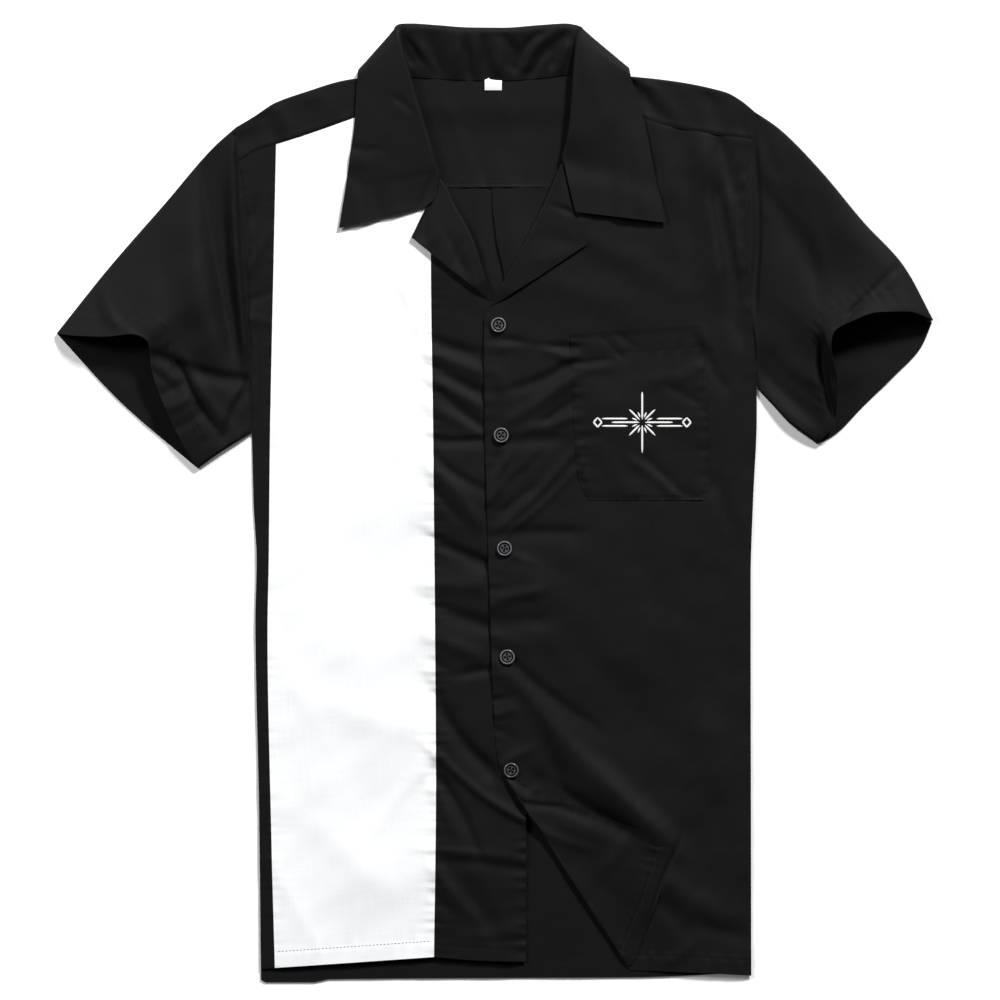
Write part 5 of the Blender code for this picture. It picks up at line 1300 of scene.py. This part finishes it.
leftSleeve = {
    "name": "scene_sleeve_left",
    "shoulder": line((213, 321), (233, 307), (267, 272.5), (302, 230.5), (335, 194.5),
                     (359.5, 150)),
    "underarm": line((215, 94), (228, 80), (243, 64), (265, 48)),
    "armhole": lineShares((213, 321, 0), (210.7, 295, 0.12), (204.6, 246, 0.33),
                          (205, 211, 0.48), (209.5, 163, 0.7), (214, 116, 0.9), (215, 94, 1)),
    "mouth back": lineShares((359.5, 150, 0), (350, 128, 0.18), (326, 102.5, 0.42),
                             (302, 79, 0.66), (279, 56, 0.9), (265, 48, 1)),
    "mouth front": rowsOf("x y z share", (359.5, 150, 10.0, 0), (337, 156.6, 20, 0.14),
                          (314, 156, 22.5, 0.28), (293, 149, 23.5, 0.4), (277, 139, 24, 0.52),
                          (275, 128, 24, 0.59), (281, 96, 18, 0.75), (279.5, 68, 9, 0.9),
                          (265, 48, 2.8, 1)),
    "folds": foldTable(
        (214, 294, 215, 178, -3, 3.2, 0.2, -3.6, -3.2),
        (224, 300, 230, 278, 0, 5, 0, -1.8, -1.4),
        (232, 286, 230, 150, -2, 12, 0, 2.4, 3.4),
        (230, 250, 279, 152, -8, 8, 0.15, -1.8, -2.2),      # long soft bent trough
        (262, 236, 276, 160, -2, 6, 0, 1.2, 1.8),
        (290, 232, 306, 196, 0, 16, 0, 1.6, 1.2),
        (336, 199, 296, 160, 0, 2.4, 0.2, -1.8, -1.5),      # hem line that shows
        (296, 160, 284, 144, 0, 2.4, 0, -1.5, -1.2),
        (271, 126, 278.5, 80, 2, 3.8, 0.5, -9.0, -6.0),     # wedge inside the mouth's edge
        (222, 132, 262, 102, 0, 11, 0, 1.6, 2.2),
        (232, 118, 258, 96, 2, 6, 0, -1.2, -1.6),
        (218, 104, 262, 58, 2, 4.0, 0, 1.0, 0.8),
        (226, 108, 262, 72, 0, 5, 0, -0.8, -1.0),
    ),
    "armhole height": leftFrontHeight,
    "swell": 2.5,
    "power": 2.9,
    "edge loft": 10.0,
    "under loft": 4.5,
    "seed": 90,
}


def makeSleeve(sleeve):
    # a tube of rings: a flat under half, a raised upper half with its folds, and two turns
    s = sleeveShape
    rings = spans(0, *s["rings"])
    upper, lower = spans(0, (1, s["over"])), spans(0, (1, s["under"]))
    armholePlan = along(sleeve["armhole"], upper)
    mouth = along(sleeve["mouth front"], upper)
    armholeZ = frontHeight(armholePlan[:, 0], armholePlan[:, 1])
    sewnZ = sleeve["armhole height"](armholePlan[:, 0], armholePlan[:, 1]) - 0.25
    frontZ = armholeZ + rings[:, None]**sleeve["power"] * (mouth[:, 2] - armholeZ)
    frontZ += sleeve["swell"] * np.sin(np.pi * rings[:, None] * 0.9) * np.abs(
        np.sin(np.pi * upper))**0.4
    frontZ += sleeve["edge loft"] * np.sin(np.pi * rings[:, None])**0.7 * (1 - ease(upper, 0, 0.4))
    frontZ += sleeve["under loft"] * np.sin(np.pi * rings[:, None])**0.7 * ease(upper, 0.93, 1)
    shoulderLine, underarm = along(sleeve["shoulder"], rings), along(sleeve["underarm"], rings)
    front = patch(armholePlan, mouth[:, :2], shoulderLine, underarm)
    back = patch(along(sleeve["armhole"], lower), along(sleeve["mouth back"], lower),
                 shoulderLine, underarm)
    x, y = front[..., 0], front[..., 1]
    fade = np.sin(np.pi * np.clip(upper, 0.02, 0.98))**0.4
    folds = foldHeight(sleeve["folds"], x, y)
    folds = folds + crumple(x, y, amount=0.2, size=40, seed=sleeve["seed"])
    mouthGap = np.linalg.norm(front - mouth[None, :, :2], axis=-1)
    mouthRun = runLengths(mouth)[None, :] + 0 * x
    hem = hemRise(mouthGap, mouthRun, width=s["hem"], seed=sleeve["seed"] + 1)
    frontZ = frontZ + fade * (folds + hem)
    frontZ += (1 - ease(rings[:, None], 0, 0.025)) * (sewnZ - frontZ)
    frontZ = restingOn(frontZ, 0.9)
    turns = []
    for side, column, inward in ((shoulderLine, 0, underarm - shoulderLine),
                                 (underarm, -1, shoulderLine - underarm)):
        outward = leftOf(side)
        outward *= -np.sign((outward * inward).sum(axis=-1, keepdims=True))
        radius = (frontZ[:, column] - lie["floor layer"]) / 2
        start = side - outward * (radius + clothThickness / 2)[:, None]
        front[:, column], back[:, column] = start, start
        angles = np.radians(np.linspace(-90, 90, s["turn"] + 1))[1:-1]
        turnPlan = start[:, None] + outward[:, None] * (radius[:, None] * np.cos(angles))[..., None]
        turns.append(raised(turnPlan, lie["floor layer"] + radius[:, None] * (1 + np.sin(angles))))
    loose = crumple(back[..., 0], back[..., 1], amount=0.35, size=36, seed=sleeve["seed"] + 2)
    loose = loose * np.sin(np.pi * lower) * rings[:, None]
    backZ = lie["floor layer"] + np.maximum(0, loose)
    points = np.concatenate([raised(front, frontZ), turns[1][:, ::-1],
                             raised(back, backZ)[:, ::-1], turns[0]], axis=1)
    makeCloth(sleeve["name"], points, blackPoplin, wrap=True,
              zeroColumn=len(upper) + s["turn"] // 2)
    inward = unit(front[0] - front[-1])
    return (mouth[:, :2] + inward * s["stitches in"])[3:-3]    # where its hem is stitched


# the collar
collar = {"stand steps": 20, "roll steps": 10, "leaf steps": 34, "step length": 2.4,
          "gorge rows": 2, "thickness": 0.8, "left gorge gap": 1.7, "right gorge gap": 0.5,
          "stand fold depth": 2.5}
tuckedHeight = rowsOf("turn z", (-90, 0.45), (0, 2.6), (50, 6.0))    # of the edge, under the yoke
# each row runs from the seam up the stand to the roll, and over it to the edge: where these lie,
# the roll's radius, the edge's gap above what it lies on, which way the roll turns in degrees
# (90 over the fronts, -90 under the yoke), and the length of the stretch to the next row
collarSections = rowsOf(
    "seamX seamY seamZ rollX rollY rollZ radius edgeX edgeY edgeGap turn length",
    (66.2, 238.4, 8.0, 62, 242, 6.7, 1.7, 140.6, 229.5, 3.6, 90, 21),
    (61.2, 258.9, 8.2, 58, 260, 6.9, 1.7, 137, 246, 3.0, 90, 21),
    (57.2, 279.6, 4.9, 55.2, 282.0, 5.6, 1.3, 133, 261, 2.0, 90, 10),
    (62.0, 287.6, 4.8, 57.6, 291.6, 6.5, 1.8, 129.5, 278, 1.8, 90, 16),
    (67.9, 300.4, 4.7, 60.3, 305.5, 8.2, 2.4, 125.5, 300, 1.6, 90, 24),
    (75.0, 322.3, 4.7, 62.8, 331, 8.9, 2.4, 119.5, 325, 1.8, 90, 24),
    (78.7, 339, 4.7, 64.2, 353, 9.4, 2.4, 114.5, 340, 2.4, 80, 24),
    (79.4, 350, 4.3, 67.0, 381, 8.9, 2.4, 111.3, 350.5, 3.2, 50, 12),
    (79.2, 351.6, 3.2, 70.0, 388.8, 6.8, 2.4, 109.3, 357.0, 0, 0, 10),
    (76.5, 351.6, 2.2, 66.0, 391.4, 4.9, 3.3, 101, 353.0, 0, -50, 16),
    (62, 351.2, 1.95, 57, 392.6, 4.6, 4.0, 84, 344, 0, -90, 24),
    (37, 348.3, 1.95, 33, 391.0, 4.6, 4.0, 48, 340.5, 0, -90, 28),
    (8, 346.4, 1.95, 8, 389.2, 4.6, 4.0, 10, 339, 0, -90, 28),
    (-22, 346.8, 1.95, -20, 389.4, 4.6, 4.0, -26, 339, 0, -90, 26),
    (-48, 348.0, 1.95, -46, 391.2, 4.6, 4.0, -60, 340.5, 0, -90, 20),
    (-66, 349.2, 1.95, -67, 392.6, 4.6, 4.0, -88, 344, 0, -90, 14),
    (-76.5, 350.4, 2.2, -76.8, 392.3, 4.9, 3.3, -102, 351.5, 0, -50, 10),
    (-79.2, 351.2, 3.2, -79.7, 389.8, 6.8, 2.4, -110.4, 356, 0, 0, 10),
    (-78.8, 349, 4.3, -77.5, 381, 8.9, 2.4, -112.3, 349.5, 3.0, 50, 18),
    (-77.5, 338, 4.7, -71.0, 358, 9.4, 2.4, -113, 338, 2.2, 80, 20),
    (-74.5, 326, 4.7, -64.5, 335, 9.0, 2.4, -113.8, 325, 1.8, 90, 24),
    (-67.0, 308, 4.7, -57.5, 312, 8.4, 2.4, -115.3, 306, 1.6, 90, 24),
    (-58.0, 289.6, 4.7, -51.5, 292, 7.8, 2.2, -118.5, 284, 2.2, 90, 16),
    (-51.0, 276.6, 4.8, -48.2, 278.2, 7.2, 1.8, -121.5, 262, 2.6, 90, 14),
    (-46.9, 267.0, 4.9, -44.8, 269.0, 6.2, 1.4, -123, 252, 2.6, 90, 14),
    (-47.6, 252.2, 8.4, -46, 256, 6.9, 1.7, -125.2, 239, 3.0, 90, 12),
    (-56.9, 242.0, 8.2, -54, 244, 6.7, 1.7, -127.3, 224.9, 3.4, 90, 0),
)


def heightAt(points, x, y):
    # height of the nearest of these points
    gap = (points[:, 0] - x)**2 + (points[:, 1] - y)**2
    return points[gap.argmin(), 2]


def makeCollar():
    # across each row: straight up the stand, half round the roll, straight out to the edge; the
    # rows between the table's own run on smooth curves
    c, table = collar, {name: column.copy() for name, column in collarSections.items()}
    for row, side in ((0, "left"), (1, "left"), (-1, "right"), (-2, "right")):
        table["seamZ"][row] = c[side + " gorge gap"] + heightAt(
            gorge[side], table["seamX"][row], table["seamY"][row])
    row = np.arange(len(table["turn"]))
    first, last = c["gorge rows"], row[-1] - c["gorge rows"]
    front = table["turn"] > 20
    edgeZ = frontHeight(table["edgeX"], table["edgeY"]) + table["edgeGap"]
    tucked = np.interp(table["turn"], *tuckedHeight.values())
    table["edgeZ"] = np.where(front, edgeZ, tucked)
    table["startZ"] = np.where((row < first) | (row > last), table["seamZ"],
                               table["rollZ"] + table["radius"])
    places = [0.0]
    for index, length in enumerate(table["length"][:-1]):
        count = steps(max(2, length / c["step length"]))
        places += list(index + np.arange(1, count + 1) / count)
    places = np.array(places)
    value = {name: smoothCurve(row, table[name], places) for name in table if name != "length"}
    seam, crest, edge = (np.stack([value[part + axis] for axis in "XYZ"], axis=-1)
                         for part in ("seam", "roll", "edge"))
    upStand = crest[:, :2] - seam[:, :2]
    upStand = np.pad(upStand / np.linalg.norm(upStand, axis=-1, keepdims=True), ((0, 0), (0, 1)))
    side = np.stack([upStand[:, 1], -upStand[:, 0], 0 * upStand[:, 0]], axis=-1)
    side *= np.where(side[:, :1] * np.sign(edge[:, :1] - seam[:, :1]) < 0, -1, 1)
    turn = np.radians(value["turn"])[:, None]
    over = np.cos(turn) * side + np.sin(turn) * np.array([0, 0, 1.0])
    radius = value["radius"][:, None]
    centre = crest - radius * upStand
    angles = np.linspace(0, np.pi, c["roll steps"] + 1)[None, :, None]
    roll = (centre[:, None] - (over * radius)[:, None] * np.cos(angles)
            + (upStand * radius)[:, None] * np.sin(angles))
    isGorge = (places < first) | (places > last)
    seam[isGorge, 2] = value["startZ"][isGorge]
    roll[isGorge] = seam[isGorge][:, None]
    standSteps, leafSteps = steps(c["stand steps"]), steps(c["leaf steps"])
    share = np.linspace(0, 1, standSteps + 1)[:-1, None]
    stand = seam[:, None] + share * (roll[:, :1] - seam[:, None])
    share = np.linspace(0, 1, leafSteps + 1)[1:, None]
    leaf = roll[:, -1:] + share * (edge[:, None] - roll[:, -1:])
    inFront = ease(value["turn"], 30, 90)[:, None]
    lifted = 0.9 * np.sin(np.pi * share[:, 0])[None, :]**1.2
    wrinkle = lie["fold depth"] * foldHeight(leafFolds, leaf[..., 0], leaf[..., 1])
    wrinkle += crumple(leaf[..., 0], leaf[..., 1], amount=0.12, size=34, seed=101)
    leaf[..., 2] += inFront * (lifted + wrinkle * ease(share[:, 0], 0.0, 0.1)[None, :])
    behind = 1 - ease(value["turn"], -90, 10)[:, None]
    wrinkle = c["stand fold depth"] * foldHeight(standFolds, stand[..., 0], stand[..., 1])
    wrinkle += crumple(stand[..., 0], stand[..., 1], amount=0.16, size=18, seed=102)
    held = np.sin(np.pi * np.clip(np.linspace(0.06, 1.0, standSteps), 0, 0.96))**0.5
    stand[..., 2] += behind * np.maximum(wrinkle * held, -2.2) + behind * 0.5 * held
    points = np.concatenate([stand, roll, leaf], axis=1)
    keep = np.ones((len(places) - 1, points.shape[1] - 1), bool)
    inner = standSteps + c["roll steps"]
    keep[:, :inner] = ~(isGorge[:-1] | isGorge[1:])[:, None]
    return makeCloth("scene_collar", points, blackPoplin, thickness=c["thickness"], keep=keep,
                     zeroColumn=inner)


makeBack()
makeYoke()
makeRightFront()
makeLeftFront()
makePocket()
sleeveHems = {sleeve["name"]: makeSleeve(sleeve) for sleeve in (rightSleeve, leftSleeve)}
makeCollar()
print("cloth made")


# buttons
button = {"rings": 40, "sides": 84, "hole radius": 0.95, "hole reach": 1.95, "hole depth": 1.5,
          "hole edge": 0.12, "turned": 8.0, "turn step": 23.0, "thread radius": 0.28,
          "thread height": 1.85, "thread dip": 0.9, "seat radius": 5, "seat gap": 0.25}
# each button's place and how much painted highlight it gets; the lowest, at the turned corner, gets
# less: painted shade
buttonCentres = rowsOf("x y pearl", (3.3, 145.9, 1), (5.5, 55.6, 1), (8.2, -37.2, 1),
                       (10.5, -126.1, 1), (13.7, -218.9, 0.6))
# from the middle of the top, out over the rim and back to the middle of the underside: radius,
# height, and how much painted highlight shows, most on the rim and none in the groove or below
buttonProfile = rowsOf("r z light", (0, 1.75, 0.5), (3.1, 1.75, 0.45), (3.5, 1.85, 0.5),
                       (3.75, 0.8, 0.0), (4.65, 0.8, 0.0), (4.9, 2.2, 0.4), (5.2, 2.45, 0.9),
                       (5.7, 2.45, 0.9), (6.1, 2.1, 0.2), (6.35, 1.6, 0.0), (6.3, 0.9, 0.0),
                       (5.6, 0.15, 0.0), (4.6, 0.0, 0.0), (0, 0.0, 0.0))
buttonRings = rowsOf("even share", (0, 0), (0.25, 0.17), (0.5, 0.5), (0.75, 0.85), (1, 1))


def makeButton(number, x, y, pearl, turned):
    # turned on a lathe: height against radius, with four round wells cut into the middle;
    # gives the button and the two paths of its crossed thread
    b = button
    share = np.interp(np.linspace(0, 1, steps(b["rings"]) * 2), *buttonRings.values())
    known = np.linspace(0, 1, len(buttonProfile["r"]))
    r, z, light = (np.interp(share, known, column) for column in buttonProfile.values())
    angle = 2 * np.pi * np.arange(b["sides"]) / b["sides"]
    px, py = r[:, None] * np.cos(angle), r[:, None] * np.sin(angle)
    # the painted highlight, by the profile, for this button; none in the wells
    pz, tone = z[:, None] + 0 * px, pearl * light[:, None] + 0 * px
    top = share[:, None] < 0.7
    for quarter in range(4):
        at = np.radians(turned + 90 * quarter)
        gap = np.hypot(px - b["hole reach"] * np.cos(at), py - b["hole reach"] * np.sin(at))
        well = top * (1 - ease(gap, b["hole radius"] - b["hole edge"],
                               b["hole radius"] + b["hole edge"]))
        pz -= b["hole depth"] * well
        tone *= 1 - well
    base = leftTop(x, y)
    points = np.stack([px + x, py + y, pz + base], axis=-1)
    mesh = meshFrom(f"scene_button_{number}", points.reshape(-1, 3),
                    ringFaces(*px.shape)[:, ::-1])
    # the painted highlight, read by the resin material
    shade = mesh.attributes.new("pearl", "FLOAT", "POINT")
    shade.data.foreach_set("value", tone.ravel().astype(np.float32))
    closePoles(mesh)
    disc = addPiece(f"scene_button_{number}", mesh, buttonResin)
    cross = []
    along = np.linspace(-1, 1, 13)
    for start in (0, 1):
        at = np.radians(turned + 90 * start)
        cross.append(np.stack([x + along * b["hole reach"] * np.cos(at),
                               y + along * b["hole reach"] * np.sin(at),
                               base + b["thread height"] - b["thread dip"] * along**6],
                              axis=-1))
    return disc, cross


def leftTop(x, y):
    # where a button sits: a gap above the highest point of the left front round a ring under it
    turn, reach = np.linspace(0, 2 * np.pi, 13), button["seat radius"]
    ring = leftFrontHeight(x + reach * np.cos(turn), y + reach * np.sin(turn))
    return ring.max() + button["seat gap"]


def tube(path, radius, sides=8):
    # round thread: a ring square to the path at each of its points, closed at both ends
    runOn = unit(np.gradient(path, axis=0))
    side = unit(np.cross(runOn, np.array([0, 0, 1.0])))
    up = np.cross(side, runOn)
    turn = 2 * np.pi * np.arange(sides) / sides
    rings = (path[:, None] + radius * np.cos(turn)[None, :, None] * side[:, None]
             + radius * np.sin(turn)[None, :, None] * up[:, None])
    first, last = (path[end] + 0 * rings[:1] for end in (0, -1))
    rings = np.concatenate([first, rings, last])
    return rings.reshape(-1, 3), ringFaces(len(rings), sides)


def closedPiece(name, parts, material):
    # several tubes or ribbons as one piece, their ends closed
    mesh = meshFrom(name, *joined(parts))
    closePoles(mesh)
    return addPiece(name, mesh, material)


buttons, crosses = [], []
for number, place in enumerate(zip(*buttonCentres.values()), start=1):
    disc, cross = makeButton(number, *place, button["turned"] + button["turn step"] * number)
    buttons.append(disc)
    crosses += cross
buttonThread = closedPiece("scene_button_thread",
                           [tube(path, button["thread radius"]) for path in crosses], blackThread)


# size label, left blank
label = {"left": -8, "right": 6, "low": 338.4, "high": 348.5, "columns": 14, "rows": 8,
         "height": 2.75, "swell": 0.25, "thickness": 0.3}


def makeLabel():
    # a flat tape with a low swell across it, its two ends turned down
    b = label
    x = np.linspace(b["left"], b["right"], b["columns"] + 1)[None, :] + np.zeros((b["rows"] + 1, 1))
    y = np.linspace(b["low"], b["high"], b["rows"] + 1)[:, None] + np.zeros((1, b["columns"] + 1))
    z = b["height"] + b["swell"] * np.sin((x - b["left"]) / (b["right"] - b["left"]) * np.pi)
    z = z - 0.5 * ease(y, 342, 338) - 1.0 * ease(y, 345.8, 347.4)
    return makeCloth("scene_size_label", raised(np.stack([x, y], axis=-1), z), whiteTape,
                     thickness=b["thickness"])


makeLabel()


# the embroidered ornament: an eight-point starburst between plain bars
ornament = {"x": 121.0, "y": 66.0, "thread": 1.5, "proud": 0.35, "step": 1.0, "taper": 2.5,
            "bars": (12, 33), "bar lift": 3.0, "lozenge": (3.3, 4.0), "lozenge at": 36.5}
ornamentRays = ((2.5, 25.0), (4.5, 9.0), (3.2, 15.0), (4.5, 9.0))    # each ray's start and end


def ribbon(path, width):
    # satin stitch: a low dome carried along a plan path, pointed at both ends, on the pocket
    runs = runLengths(path)
    places = np.linspace(0, runs[-1], max(5, int(runs[-1] / ornament["step"])))
    path = sampled(path, runs, places)
    side = leftOf(path)
    share = places / places[-1]
    taper = np.clip(np.minimum(share, 1 - share) * runs[-1] / ornament["taper"], 0.12, 1)**0.5
    across = np.array([-0.5, -0.3, 0.0, 0.3, 0.5])
    plan = path[:, None] + across[None, :, None] * (width * taper)[:, None, None] * side[:, None]
    dome = ornament["proud"] * (1 - (2 * across)**2)[None, :] * taper[:, None]
    z = pocketHeight(plan[..., 0], plan[..., 1]) + 0.2
    top = raised(plan, z + dome)
    under = raised(plan[:, 1:-1], z[:, 1:-1] - 0.05)[:, ::-1]
    rings = np.concatenate([top, under], axis=1)
    first, last = (rings[end].mean(axis=0) + 0 * rings[:1] for end in (0, -1))
    rings = np.concatenate([first, rings, last])
    return rings.reshape(-1, 3), ringFaces(*rings.shape[:2])[:, ::-1]


def ornamentLines():
    # rays at sixteen even angles, every fourth long, those halfway between shorter and the rest
    # short dashes; at each side a pair of bars and a small lozenge past their outer ends
    centre = np.array([ornament["x"], ornament["y"]])
    lines = []
    for number in range(16):
        angle = np.pi / 8 * number + np.pi / 2
        way = np.array([np.cos(angle), np.sin(angle)])
        lines.append(np.array([centre + reach * way for reach in ornamentRays[number % 4]]))
    wide, high = ornament["lozenge"]
    lozenge = np.array([(0, high), (wide, 0), (0, -high), (-wide, 0), (0, high)])
    for side in (-1, 1):
        for lift in (-ornament["bar lift"], ornament["bar lift"]):
            lines.append(np.array([centre + (side * end, lift) for end in ornament["bars"]]))
        lines.append(lozenge + centre + (side * ornament["lozenge at"], 0))
    return lines


ornamentPiece = closedPiece("scene_pocket_embroidery",
                            [ribbon(path, ornament["thread"]) for path in ornamentLines()],
                            whiteThread)
print("buttons, label and ornament made")


# stitches, in runs beside the seams and hems
pieces = {piece.name: piece for piece in bpy.data.objects if piece.name.startswith("scene_")}


def stitched(name, paths):
    # stitches laid on a cloth piece along plan paths, as one mesh
    runs = [laidOn(pieces["scene_" + name], path) for path in paths]
    rows = [stitchRow(place, normal) for place, normal in runs if len(place) > 3]
    return meshFrom("scene_stitches_" + stitchNames.get(name, name), *joined(rows))


def hemPath(hemLine, distance, low, high):
    # a line's points from x low to high, moved up by distance
    x = np.arange(low, high, stitch["path step"])
    return np.stack([x, atX(hemLine, x) + distance], axis=-1)


def seamPath(seamLine, distance, low, high):
    # a path beside a line, from y low to high
    path = beside(planLine(seamLine), distance)
    return path[(path[:, 1] > low) & (path[:, 1] < high)]


hemInset = lie["hem"] - hemStitch
armholeRows = (1.6, 7.4)    # the two rows of stitches beside each armhole
stitchNames = {"right_front_insert": "insert"}
stitchRuns = {
    "left_front": [hemPath(leftHem, hemInset, 116, 208), seamPath(cornerHem, -hemInset, -356, -276),
                   seamPath(leftArmhole, armholeRows[0], 96, 292),
                   seamPath(leftArmhole, armholeRows[1], 98, 290)],
    "right_front_centre": [hemPath(centreHem, rightFront["centre hem"] - hemStitch, -47, 24)],
    "right_front_side": [seamPath(rightArmhole, -armholeRows[0], 60, 276),
                         seamPath(rightArmhole, -armholeRows[1], 62, 274)],
    "yoke": [seamPath(leftYokeSeam, 1.8, 296, 330), seamPath(rightYokeSeam, 1.8, 284, 330),
             hemPath(backYokeSeam, 1.2, -60, -4), hemPath(backYokeSeam, 0.8, -4, 84),
             hemPath(backYokeSeam, 3.4, -60, -4), hemPath(backYokeSeam, 3.0, -4, 84)],
    "pocket": [seamPath(pocketInner, -2.0, 4, 137), seamPath(pocketOuter, 2.0, 4, 142),
               hemPath(line((62, 139), (170, 146)), -17.5, 66, 172),
               hemPath(line((78, 2.5), (171, 2.5)), 2.0, 78, 171)],
    "back_panel": [hemPath(backHem, hemInset, -184, 206)],
    "right_front_insert": [hemPath(insertHem, hemInset, -178, -51)],
    "sleeve_right": [sleeveHems["scene_sleeve_right"]],
    "sleeve_left": [sleeveHems["scene_sleeve_left"]],
}
stitchPieces = {}
for name, paths in stitchRuns.items():
    mesh = stitched(name, paths)
    stitchPieces[name] = addPiece(mesh.name, mesh, blackThread)
print("stitches made:", sum(len(p.data.polygons) for p in stitchPieces.values()), "faces")


# what stands for what
clothNodes = ("back_panel", "yoke", "right_front_side", "right_front_insert", "right_front_centre",
              "left_front", "pocket", "sleeve_right", "sleeve_left", "collar", "size_label")
for nodeName in clothNodes:
    piece = pieces["scene_" + nodeName]
    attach(piece, "root")
    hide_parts(nodeName)
for number, piece in enumerate(buttons, start=1):
    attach(piece, "root")
    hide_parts(f"button_{number}")
for piece in [buttonThread, ornamentPiece, *stitchPieces.values()]:
    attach(piece, "root")

print("pieces attached")


# floor, light and camera, in metres and watts: each key has its place, size and power
studio = {"camera height": 6.0, "view width": 0.82, "centre": (0.00426, 0.00294),
          "floor": "#f8f8f8", "world": 0.05,
          "right key": ((2.1, 4.0, 3.0), 0.8, 406.0), "left key": ((-2.2, 1.6, 2.2), 1.2, 68.0),
          "floor reach": 4, "floor height": -0.0006, "floor glow": 0.1}
reach = studio["floor reach"]
floorMesh = bpy.data.meshes.new("floor")
floorMesh.from_pydata([(x, y, studio["floor height"]) for x, y in
                       ((-reach, -reach), (reach, -reach), (reach, reach), (-reach, reach))], [],
                      [(0, 1, 2, 3)])
floorPaper = newMaterial("matt_white_paper")
paper = node(floorPaper, "ShaderNodeBsdfDiffuse", in_Color=linear(studio["floor"]))
glow = node(floorPaper, "ShaderNodeEmission", in_Strength=studio["floor glow"])
both = node(floorPaper, "ShaderNodeAddShader", [(paper.outputs[0], 0), (glow.outputs[0], 1)])
node(floorPaper, "ShaderNodeOutputMaterial", [(both.outputs[0], "Surface")])
floor = addPiece("floor", floorMesh, floorPaper)


def softbox(name, place, size, power):
    # a square area light that faces the middle of the shirt
    light = bpy.data.lights.new(name, "AREA")
    light.shape, light.size, light.energy = "SQUARE", size, power
    box = bpy.data.objects.new(name, light)
    bpy.context.scene.collection.objects.link(box)
    box.location = place
    box.rotation_euler = (-Vector(place)).to_track_quat("-Z", "Y").to_euler()


for name in ("right key", "left key"):
    softbox(name, *studio[name])
world = bpy.data.worlds.new("studio")
bpy.context.scene.world = world
world.use_nodes = True
world.node_tree.nodes["Background"].inputs["Color"].default_value = (1, 1, 1, 1)
world.node_tree.nodes["Background"].inputs["Strength"].default_value = studio["world"]
cameraData = bpy.data.cameras.new("camera")
cameraData.lens = cameraData.sensor_width * studio["camera height"] / studio["view width"]
camera = bpy.data.objects.new("camera", cameraData)
camera.location = (*studio["centre"], studio["camera height"])
cameraData.clip_end = 50    # metres, far past the shirt
bpy.context.scene.collection.objects.link(camera)
bpy.context.scene.camera = camera
bpy.context.scene.view_settings.view_transform = "Standard"
